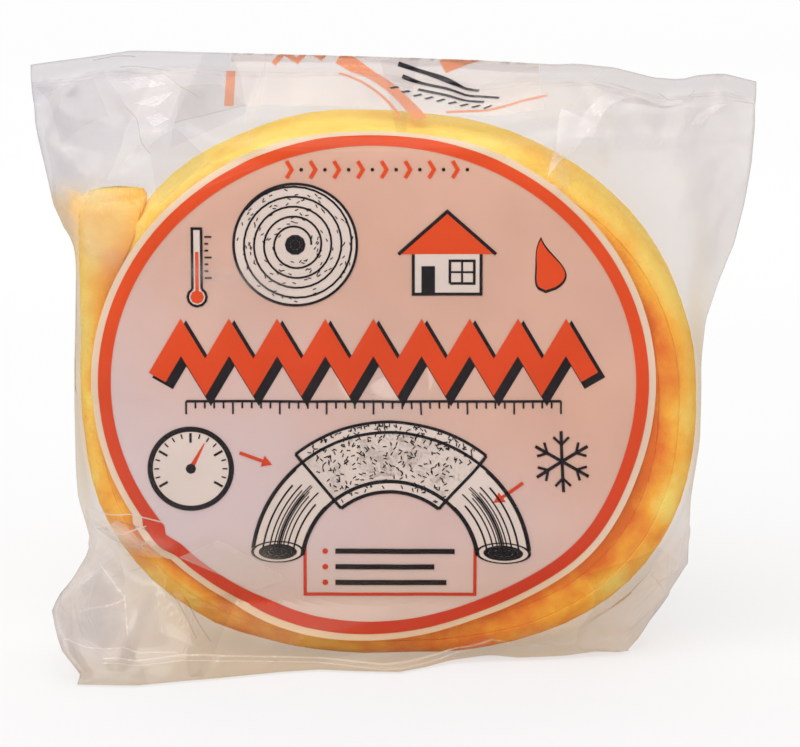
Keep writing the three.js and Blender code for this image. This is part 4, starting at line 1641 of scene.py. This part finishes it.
@dataclass
class Stencil:
    """Collects the flat shapes of one ink, in millimetres on the chart."""

    step: float = 2.6
    points: list = field(default_factory=list)
    faces: list = field(default_factory=list)

    def patch(self, a: Point, b: Point, c: Point, d: Point) -> None:
        """Fill the four-sided patch a, b, c, d with small faces.

        Args:
            a: Its first corner.
            b: Its second corner.
            c: Its third corner.
            d: Its last corner.
        """
        a, b, c, d = (np.array(p, float) for p in (a, b, c, d))
        wide, tall = (
            max(1, math.ceil(max(np.linalg.norm(one), np.linalg.norm(two)) / self.step))
            for one, two in ((b - a, c - d), (d - a, c - b))
        )
        start = len(self.points)
        for j in range(tall + 1):
            for i in range(wide + 1):
                low, high = mix(a, b, i / wide), mix(d, c, i / wide)
                self.points.append(tuple(mix(low, high, j / tall)))
        for j in range(tall):
            for i in range(wide):
                k = start + j * (wide + 1) + i
                self.faces.append((k, k + 1, k + wide + 2, k + wide + 1))

    def bar(self, start: Point, end: Point, width: float, end_width: float | None = None) -> None:
        """Fill a straight bar from start to end, tapered to end_width if it is given.

        Args:
            start: Its start.
            end: Its end.
            width: Its width.
            end_width: Its width at the end, if another.
        """
        start, end = np.array(start, float), np.array(end, float)
        way = unit(end - start)
        side = np.array([-way[1], way[0]]) / 2
        last = width if end_width is None else end_width
        self.patch(start - side * width, end - side * last, end + side * last, start + side * width)

    def line(self, points: list[Point], width: float) -> None:
        """Fill a bent line through the points, mitred at its bends.

        Args:
            points: Its points.
            width: Its width.
        """
        path = np.array(points, float)
        ways = unit(np.diff(path, axis=0))
        sides = np.stack([-ways[:, 1], ways[:, 0]], -1)
        joints = unit(np.concatenate([sides[:1], sides[:-1] + sides[1:], sides[-1:]]))
        spans = np.concatenate([sides[:1], sides])
        off = joints / np.maximum((joints * spans).sum(1), 0.4)[:, None] * width / 2
        low, high = path - off, path + off
        for k in range(len(path) - 1):
            self.patch(low[k], low[k + 1], high[k + 1], high[k])

    def arc(
        self,
        centre: Point,
        radius: float,
        width: float,
        start: float = 0,
        end: float = 360,
        squash: float = 1,
    ) -> None:
        """Fill a ring or a part of one, angles in degrees, radius to its middle.

        Args:
            centre: Its middle.
            radius: Its radius to the middle of its width.
            width: Its width.
            start: Where it starts, in degrees.
            end: Where it ends, in degrees.
            squash: Its height over its width.
        """
        count = max(8, math.ceil(abs(end - start) / 360 * 2 * math.pi * radius / self.step))
        angles = np.radians(np.linspace(start, end, count + 1))
        low, high = (max(radius + reach * width, 0.01) for reach in (-0.5, 0.5))
        for one, two in zip(angles[:-1], angles[1:]):
            corners = ((low, one), (low, two), (high, two), (high, one))
            self.patch(*(polar(centre, reach, angle, squash) for reach, angle in corners))

    def disc(self, centre: tuple, radius: float, squash: float = 1) -> None:
        """Fill a disc."""
        rings = max(1, math.ceil(radius / self.step))
        for k in range(rings):
            self.arc(centre, radius * (k + 0.5) / rings, radius / rings, squash=squash)

    def turned(self, start: int, centre: tuple, degrees: float) -> None:
        """Turn the points added since start about a centre."""
        cos, sin = math.cos(math.radians(degrees)), math.sin(math.radians(degrees))
        for k in range(start, len(self.points)):
            x, y = self.points[k][0] - centre[0], self.points[k][1] - centre[1]
            self.points[k] = (centre[0] + cos * x - sin * y, centre[1] + sin * x + cos * y)


@dataclass
class Artwork:
    """Plain pictograms of the printing, drawn with one stencil for each ink."""

    inks: dict = field(default_factory=lambda: {tone: Stencil() for tone in InkTone})
    seed: int = 5

    def __post_init__(self) -> None:
        """Name the inks that the pictograms use most."""
        tones = (InkTone.BLACK, InkTone.WHITE, InkTone.ORANGE)
        self.black, self.white, self.orange = (self.inks[tone] for tone in tones)

    def stroke(self, spot: Point, length: float, angle: float, width: float) -> None:
        """Draw a straight black stroke from a spot."""
        self.black.bar(spot, polar(spot, length, angle), width)

    def coil(self, centre: Point, radius: float, turns: float = 4.4) -> None:
        """Draw a wound strip seen end on: a stippled spiral with a dark bore.

        Args:
            centre: Its middle.
            radius: Its radius.
            turns: How many turns are drawn.
        """
        self.white.disc(centre, radius)
        self.black.arc(centre, radius, 1.3)
        shares, winding = np.linspace(0, 1, 150), 2 * math.pi * turns
        path = [polar(centre, radius * (0.26 + 0.72 * share), winding * share) for share in shares]
        self.black.line(path, 1.0)
        self.black.disc(centre, radius * 0.17)
        rng = np.random.default_rng(self.seed)
        for _ in range(150):
            angle, reach = rng.uniform(0, 2 * math.pi), radius * math.sqrt(rng.uniform(0.08, 0.9))
            tilt = angle + rng.uniform(-0.7, 0.7) + math.pi / 2
            self.stroke(polar(centre, reach, angle), 1.7, tilt, 0.5)

    def zigzag(self, centre: Point, width: float, height: float, peaks: int, band: float) -> None:
        """Draw an orange zigzag band on a black shadow.

        Args:
            centre: Its middle.
            width: Its width.
            height: Its height.
            peaks: How many peaks it has.
            band: The band's width.
        """
        left, rise = centre[0] - width / 2, height / 2
        knees = range(2 * peaks + 1)
        path = [(left + k * width / (2 * peaks), centre[1] + (rise if k % 2 else -rise)) for k in knees]
        self.inks[InkTone.SHADE].line([(x + 2.6, y - 3.0) for x, y in path], band + 2.2)
        self.orange.line(path, band)

    def elbow(self, centre: Point, radius: float, pipe: float) -> None:
        """Draw a bent pipe, hatched along its length, with a stippled sleeve on its middle.

        Args:
            centre: Its middle.
            radius: The bend's radius.
            pipe: The pipe's width.
        """
        black, white, sleeve = self.black, self.white, pipe * 1.42
        white.arc(centre, radius, pipe, 8, 172)
        for k, share in enumerate(np.linspace(-0.48, 0.48, 15) ** 3 * 4.3):
            width = 0.45 + 0.75 * abs(share) * 2
            spread = (6, 9, 3, 8)[k % 4]
            black.arc(centre, radius + share * pipe, width, 8, 50 - spread)
            black.arc(centre, radius + share * pipe, width, 130 + spread, 172)
        black.arc(centre, radius + pipe / 2, 1.5, 8, 172)
        black.arc(centre, radius - pipe / 2, 1.8, 8, 172)
        white.arc(centre, radius, sleeve, 52, 128)
        black.arc(centre, radius + sleeve / 2, 1.5, 51, 129)
        black.arc(centre, radius - sleeve / 2, 1.8, 51, 129)
        rng = np.random.default_rng(self.seed + 1)
        for angle in np.radians((51, 129)):
            black.bar(*(polar(centre, radius + side * sleeve / 2, angle) for side in (-1, 1)), 1.5)
        for _ in range(330):
            angle = math.radians(rng.uniform(54, 126))
            reach = radius + sleeve * (0.46 - 0.92 * rng.uniform() ** 1.5)
            self.stroke(polar(centre, reach, angle), 1.9, rng.uniform(0, math.pi), 0.55)
        for angle in np.radians((8, 172)):
            spot = polar(centre, radius, angle)
            white.disc(spot, pipe * 0.5, 0.42)
            black.disc(spot, pipe * 0.38, 0.42)
            black.arc(spot, pipe * 0.5, 1.4, squash=0.42)

    def dial(self, centre: Point, radius: float) -> None:
        """Draw a gauge dial with ticks and an orange hand.

        Args:
            centre: Its middle.
            radius: Its radius.
        """
        self.white.disc(centre, radius)
        self.black.arc(centre, radius, 2.6)
        for k, angle in enumerate(np.radians(np.linspace(-30, 210, 17))):
            inner, width = (0.66, 1.2) if k % 4 == 0 else (0.78, 0.7)
            self.black.bar(*(polar(centre, radius * share, angle) for share in (inner, 0.9)), width)
        self.orange.bar(centre, polar(centre, 0.72 * radius, math.radians(62)), 2.6, 0.6)
        self.black.disc(centre, radius * 0.13)

    def house(self, centre: Point, size: float) -> None:
        """Draw a house: black outline, orange roof, window and door.

        Args:
            centre: Its middle.
            size: Its width.
        """

        def at(*shares: float) -> list[Point]:
            """Give the points at shares of its size, x and y in turn."""
            return [(centre[0] + across * size, centre[1] + up * size) for across, up in paired(shares)]

        ridge = 0.5 / size
        self.white.patch(*at(-0.5, -0.5, 0.5, -0.5, 0.5, 0.1, -0.5, 0.1))
        self.black.line(at(-0.5, 0.1, -0.5, -0.5, 0.5, -0.5, 0.5, 0.1), 1.5)
        self.orange.patch(*at(-0.72, 0.1, 0.72, 0.1, ridge, 0.72, -ridge, 0.72))
        self.black.line(at(-0.72, 0.1, 0, 0.74, 0.72, 0.1), 1.7)
        self.black.bar(*at(-0.28, -0.5, -0.28, -0.08), 0.2 * size)
        self.black.line(at(0.04, -0.34, 0.40, -0.34, 0.40, 0, 0.04, 0, 0.04, -0.34), 1.3)
        self.black.bar(*at(0.22, -0.34, 0.22, 0), 1.0)
        self.black.bar(*at(0.04, -0.17, 0.40, -0.17), 1.0)

    def flake(self, centre: Point, radius: float) -> None:
        """Draw a six-armed snowflake."""
        for way in np.radians(60 * np.arange(6) + 30):
            self.stroke(centre, radius, way, 1.6)
            for turn in (-0.8, 0.8):
                self.stroke(polar(centre, 0.55 * radius, way), 0.36 * radius, way + turn, 1.3)

    def flame(self, centre: Point, height: float, rows: int = 16) -> None:
        """Draw an orange flame with a dark edge.

        Args:
            centre: Its middle.
            height: Its height.
            rows: In how many rows it is drawn.
        """
        for tone, scale in ((InkTone.SHADE, 1.12), (InkTone.ORANGE, 1.0)):
            edges = []
            for share in np.arange(rows + 1) / rows:
                swell = math.sin(math.pi * share**0.62) * (1 - 0.25 * share)
                half = 0.30 * height * swell * scale + 0.02
                middle = centre[0] + 0.10 * height * math.sin(5 * share)
                y = centre[1] + (share - 0.5) * height * scale
                edges.append(((middle - half, y), (middle + half, y)))
            for low, high in zip(edges, edges[1:]):
                self.inks[tone].patch(*low, *high[::-1])

    def thermometer(self, foot: Point, height: float) -> None:
        """Draw a plain thermometer that stands on its bulb.

        Args:
            foot: The bulb's middle.
            height: Its height over the foot.
        """
        x, y = foot
        self.white.disc(foot, 0.13 * height)
        self.white.bar(foot, (x, y + height), 0.13 * height)
        self.orange.disc(foot, 0.10 * height)
        self.orange.bar(foot, (x, y + 0.66 * height), 0.05 * height)
        self.black.arc(foot, 0.135 * height, 1.3, 118, 422)
        side, neck, top = 0.066 * height, y + 0.12 * height, y + height
        self.black.line([(x - side, neck), (x - side, top), (x + side, top), (x + side, neck)], 1.3)
        for k in range(7):
            level = y + (0.28 + 0.10 * k) * height
            self.black.bar((x + side + 1.5, level), (x + side + (5.0 if k % 3 == 0 else 3.4), level), 0.9)

    def chevrons(self, start: Point, count: int, step: float, size: float) -> None:
        """Draw a row of chevrons with a dot after each.

        Args:
            start: Where it starts.
            count: How many are drawn.
            step: From one to the next.
            size: Half a chevron's height.
        """
        x, y = start
        for left in (x + k * step for k in range(count)):
            self.orange.line([(left, y + size), (left + 0.6 * size, y), (left, y - size)], 0.45 * size)
            self.black.disc((left + 0.62 * step, y), 0.22 * size)

    def rule(self, start: Point, length: float, marks: int) -> None:
        """Draw a measuring rule: a bar with ticks.

        Args:
            start: Its left end.
            length: Its length.
            marks: How many spaces it has.
        """
        x, y = start
        self.black.bar(start, (x + length, y), 1.3)
        for k in range(marks + 1):
            spot = x + k * length / marks
            self.black.bar((spot, y), (spot, y - (6.5 if k % 5 == 0 else 3.6)), 0.9)

    def arrow(self, start: Point, end: Point) -> None:
        """Draw a small orange arrow."""
        neck = np.array(end) - 5 * unit(np.subtract(end, start))
        self.orange.bar(start, neck, 1.7)
        self.orange.bar(neck, end, 6.0, 0.1)


@dataclass
class Printing:
    """All the printing on the film: the round front panel and a second print at the top; also the painted
    glints, highlight, glare and shade, laid like inks.
    """

    bag: FilmBag
    centre_x: float = -0.0076
    centre_rise: float = 0.0070
    half_wide: float = 135.1
    half_tall: float = 124.6
    ring_width: float = 6.3
    cream_width: float = 3.4
    tuck_start: tuple = (-132.0, -62.0)
    tuck_end: tuple = (-96.0, -74.0)
    tuck_slip: float = 2.6

    def frame_panel(self, art: Artwork) -> None:
        """Draw the panel's ground, ring and border."""
        squash = self.half_tall / self.half_wide
        outer = self.half_wide
        art.inks[InkTone.GROUND].disc((0, 0), outer - self.ring_width * 0.6, squash=squash)
        art.orange.arc((0, 0), outer - self.ring_width / 2, self.ring_width, squash=squash)
        border = art.inks[InkTone.CREAM]
        border.arc((0, 0), outer + self.cream_width / 2 - 0.4, self.cream_width + 0.8, squash=squash)

    def panel(self) -> Artwork:
        """Draw the round front panel.

        Returns:
            The drawing, in millimetres from the panel's middle.
        """
        art = Artwork()
        self.frame_panel(art)
        art.coil((-38, 70), 30)
        art.house((36, 62), 33)
        art.zigzag((0, 14), 212, 20, 9, 9.5)
        art.rule((-92, -8), 184, 40)
        art.elbow((8, -92), 56, 25)
        art.dial((-90, -42), 20)
        art.flake((92, -38), 15)
        art.flame((84, 60), 25)
        art.thermometer((-86, 44), 34)
        art.chevrons((-42, 107), 8, 11.5, 4.2)
        art.arrow((-66, -34), (-50, -40))
        art.arrow((72, -48), (58, -58))
        art.orange.line([(-34, -80), (-34, -106), (50, -106), (50, -80)], 1.6)
        for level, right in ((-84, 40), (-92, 30), (-100, 36)):
            art.orange.disc((-24, level), 1.5)
            art.black.bar((-19, level), (right, level), 2.6)
        return art

    def second(self) -> Artwork:
        """Draw the part of the next print that shows at the top, in millimetres on the chart.

        Returns:
            The drawing.
        """
        art = Artwork(seed=9)
        veil, orange, black = (art.inks[t] for t in (InkTone.VEIL, InkTone.PALE, InkTone.BLACK))
        veil.patch((-80, 158), (76, 151), (74, 206), (-78, 206))
        orange.bar((-78.5, 156), (-78.5, 188), 4.6)
        orange.arc((-62, 128), 79, 7.5, 13, 62)
        orange.arc((-62, 128), 70, 1.8, 16, 58)
        orange.arc((66, 120), 84, 7.0, 84, 118)
        orange.line([(78, 170), (52, 160), (28, 156)], 2.6)
        start = len(black.points)
        black.bar((2, 190), (44, 190), 2.4)
        black.bar((6, 184), (56, 184), 2.4)
        black.bar((16, 178), (50, 178), 2.4)
        for k in range(9):
            black.bar((4 + 6 * k, 170), (7 + 6 * k, 174), 1.7)
        black.turned(start, (20, 184), -17)
        start = len(orange.points)
        orange.line([(-58 + 6 * k, 196 + (5 if k % 2 else 0)) for k in range(8)], 2.6)
        orange.turned(start, (-40, 198), 9)
        return art

    def welds(self, art: Artwork) -> None:
        """Draw the foot's weld, in front of the roll, and the painted lines and panes of glint, highlight,
        glare and shade in the film.

        Args:
            art: What they are drawn in.
        """
        floor = -self.bag.form.centre_z / MM
        for lower, width, row in FOOT_WELD:
            art.inks[InkTone.WELD].line([(x, floor + z - lower) for x, z in paired(row)], width)
        for tone, width, rows in FILM_LINES:
            for row in rows:
                art.inks[tone].line(paired(row), width)
        for tone, rows in FILM_PANES:
            for row in rows:
                art.inks[tone].patch(*paired(row))

    def slipped(self, x: float, y: float) -> Point:
        """Shift a place on the panel where the film is tucked or stands off.

        Args:
            x: The place's x.
            y: The place's y.

        Returns:
            The shifted place.
        """
        ax, ay = self.tuck_start
        bx, by = self.tuck_end
        run = math.hypot(bx - ax, by - ay)
        along = ((x - ax) * (bx - ax) + (y - ay) * (by - ay)) / run
        off = ((bx - ax) * (y - ay) - (by - ay) * (x - ax)) / run
        fade = float(eased(along, run + 4, run - 8)) if along > run - 8 else 1.0
        slip = self.tuck_slip * fade * (1.0 if -14 < off < 0 else 0.0) * float(x < bx + 6)
        angle = math.degrees(math.atan2(y, x))
        bulge = 1 + 0.024 * math.exp(-(((angle + 38) / 15) ** 2))
        return x * bulge - slip * 0.4, y * bulge - slip

    def build(self) -> list[Object]:
        """Lay every ink inside the film.

        Returns:
            The printed and painted pieces, one for each ink.
        """
        finishes = {
            # Down the bag the orange darkens, a painted shade, and the ground pales to lilac, a painted
            # change of light.
            InkTone.ORANGE: Ink("ink_orange", srgb(238, 82, 34), 0.94, srgb(206, 60, 40), 0.0),
            InkTone.CREAM: Ink("ink_cream", srgb(244, 228, 208), 0.86),
            InkTone.GROUND: Ink("ink_ground", srgb(238, 200, 184), 0.80, srgb(232, 224, 232)),
            InkTone.BLACK: Ink("ink_black", srgb(24, 22, 30), 0.96),
            InkTone.SHADE: Ink("ink_shade", srgb(24, 22, 30), 0.96),
            InkTone.WHITE: Ink("ink_white", srgb(242, 230, 224), 0.90),
            # Pale weld lines with painted glints, then painted crease shade, painted highlight, painted
            # glare and painted shade.
            InkTone.WELD: Ink("ink_weld", srgb(250, 246, 244), 0.55),
            InkTone.CREASE: Ink("ink_crease", srgb(120, 112, 116), 0.26),
            InkTone.GLEAM: Ink("ink_gleam", srgb(255, 253, 253), 0.24),
            InkTone.STREAK: Ink("ink_streak", srgb(255, 253, 255), 0.32, glow=0.25),
            InkTone.DIM: Ink("ink_dim", srgb(150, 140, 146), 0.09),
            InkTone.PALE: Ink("ink_pale_orange", srgb(250, 158, 104), 0.82),
            InkTone.VEIL: Ink("ink_veil", srgb(250, 240, 230), 0.50),
        }
        art, second = self.panel(), self.second()
        self.welds(second)
        pieces = []
        for tone in InkTone:
            chart = FilmChart(self.bag, tone.value)
            ink, more, finish = art.inks[tone], second.inks[tone], finishes[tone]
            moved = [self.slipped(*point) for point in ink.points]
            places = [chart.at(self.centre_x + x * MM, self.centre_rise + y * MM) for x, y in moved]
            places += [chart.at(x * MM, y * MM) for x, y in more.points]
            faces = ink.faces + [tuple(k + len(ink.points) for k in face) for face in more.faces]
            piece = new_mesh(finish.name.replace("ink", "print"), np.array(places), faces)
            pieces.append(dress(piece, finish.build()))
            log.info("%s: %d faces", piece.name, len(faces))
        return pieces


# ------------------------------------------------------------------ studio


@dataclass
class Studio:
    """The pale floor, the soft lamps and the camera."""

    aim: tuple = (0.0054, 0.0, 0.1394)
    elevation: float = 12.0
    distance: float = 2.0
    frame_width: float = 0.400
    sensor: float = 36.0
    # What the floor gives off where it is seen: distance back in 3 m, and strength.
    floor_glow: tuple = ((0.0, 0.612), (0.27, 0.662), (0.47, 0.757), (0.66, 0.820), (1.0, 0.840))

    def floor(self) -> None:
        """Lay a plain pale floor that looks white and keeps a soft shadow."""
        bpy.ops.object.select_all(action="DESELECT")
        bpy.ops.mesh.primitive_plane_add(size=60)
        floor = bpy.context.object
        floor.name = "studio_floor"
        n = Nodes("studio_floor")
        path = n.add("LightPath").outputs
        seen = n.math("MAXIMUM", path["Is Camera Ray"], path["Is Transmission Ray"])
        stops = ((at, (level, level, level, 1)) for at, level in self.floor_glow)
        glow = n.ramp(n.math("DIVIDE", n.axes()["Y"], 3.0), *stops)
        shaded, matt = (n.out("BsdfDiffuse", {"Color": (grey, grey, grey, 1)}) for grey in (0.30, 0.86))
        dull = n.blend("Shader", path["Is Glossy Ray"], matt, shaded)
        floor.data.materials.append(n.finish(n.blend("Shader", seen, dull, n.lit(shaded, glow, 1.0))))

    def lamp(self, name: str, place: tuple, size: tuple, power: float) -> None:
        """Hang a soft rectangular lamp that faces the pack.

        Args:
            name: Name of the lamp.
            place: Where it hangs.
            size: Its width and height.
            power: Watts.
        """
        light = bpy.data.lights.new(name, "AREA")
        light.shape = "RECTANGLE"
        light.size, light.size_y = size
        light.energy = power
        lamp = bpy.data.objects.new(name, light)
        bpy.context.scene.collection.objects.link(lamp)
        lamp.location = place
        lamp.rotation_euler = (Vector((0, 0, 0.15)) - Vector(place)).to_track_quat("-Z", "Y").to_euler()

    def world(self) -> None:
        """Fill the room with even, pale light."""
        world = bpy.data.worlds.new("studio_room")
        bpy.context.scene.world = world
        n = Nodes(world.name, world)
        room, seen = (n.out("Background", {"Color": CLEAR, "Strength": level}) for level in (0.45, 1.0))
        by_camera = n.add("LightPath").outputs["Is Camera Ray"]
        n.add("OutputWorld", {"Surface": n.blend("Shader", by_camera, room, seen)})

    def camera(self, middle_y: float) -> None:
        """Set the camera at its angle, aimed at the pack.

        Args:
            middle_y: The roll's middle, front to back.
        """
        angle = math.radians(self.elevation)
        aim = Vector(self.aim) + Vector((0, middle_y, 0))
        back = Vector((0, -math.cos(angle), math.sin(angle)))
        data = bpy.data.cameras.new("camera")
        data.sensor_width = self.sensor
        data.lens = self.sensor * self.distance / self.frame_width
        data.clip_end = 100
        camera = bpy.data.objects.new("camera", data)
        camera.location = aim + back * self.distance
        camera.rotation_euler = (-back).to_track_quat("-Z", "Y").to_euler()
        bpy.context.scene.collection.objects.link(camera)
        bpy.context.scene.camera = camera

    def build(self, middle_y: float) -> None:
        """Set the whole studio.

        Args:
            middle_y: The roll's middle, front to back.
        """
        self.camera(middle_y)
        self.floor()
        self.world()
        self.lamp("key", (-0.45, -0.85, 1.45), (1.9, 1.3), 23)
        self.lamp("fill", (1.5, -1.3, 0.8), (1.2, 1.2), 6)
        self.lamp("back", (0.1, 1.0, 1.2), (2.0, 0.9), 9)
        self.lamp("glint", (-0.5, -2.0, 0.85), (1.3, 0.16), 2.5)
        bpy.context.scene.view_settings.view_transform = "Standard"
        bpy.context.scene.cycles.transparent_max_bounces = 24


# ------------------------------------------------------------------ main


def main() -> None:
    """Build every piece, dress it, and set the studio."""
    logging.basicConfig(level=logging.INFO, format="%(name)s: %(message)s")
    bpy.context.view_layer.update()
    form = RollForm.from_frame()
    Studio().build(form.centre_y)

    roll = InsulationRoll(form).build()
    log.info("%s: %d faces", roll.name, len(roll.data.polygons))

    bag = FilmBag(form)
    film = bag.build()
    prints = Printing(bag).build() + [bag.glints(), bag.panes(True, 0.00045), bag.panes(False, 0.00050)]
    log.info("%s: %d faces, %d prints", film.name, len(film.data.polygons), len(prints))

    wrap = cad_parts["vapor_seal_wrap"]
    wrap.data.materials.clear()
    wrap.data.materials.append(WoundFilm().build())


if __name__ == "__main__":
    main()
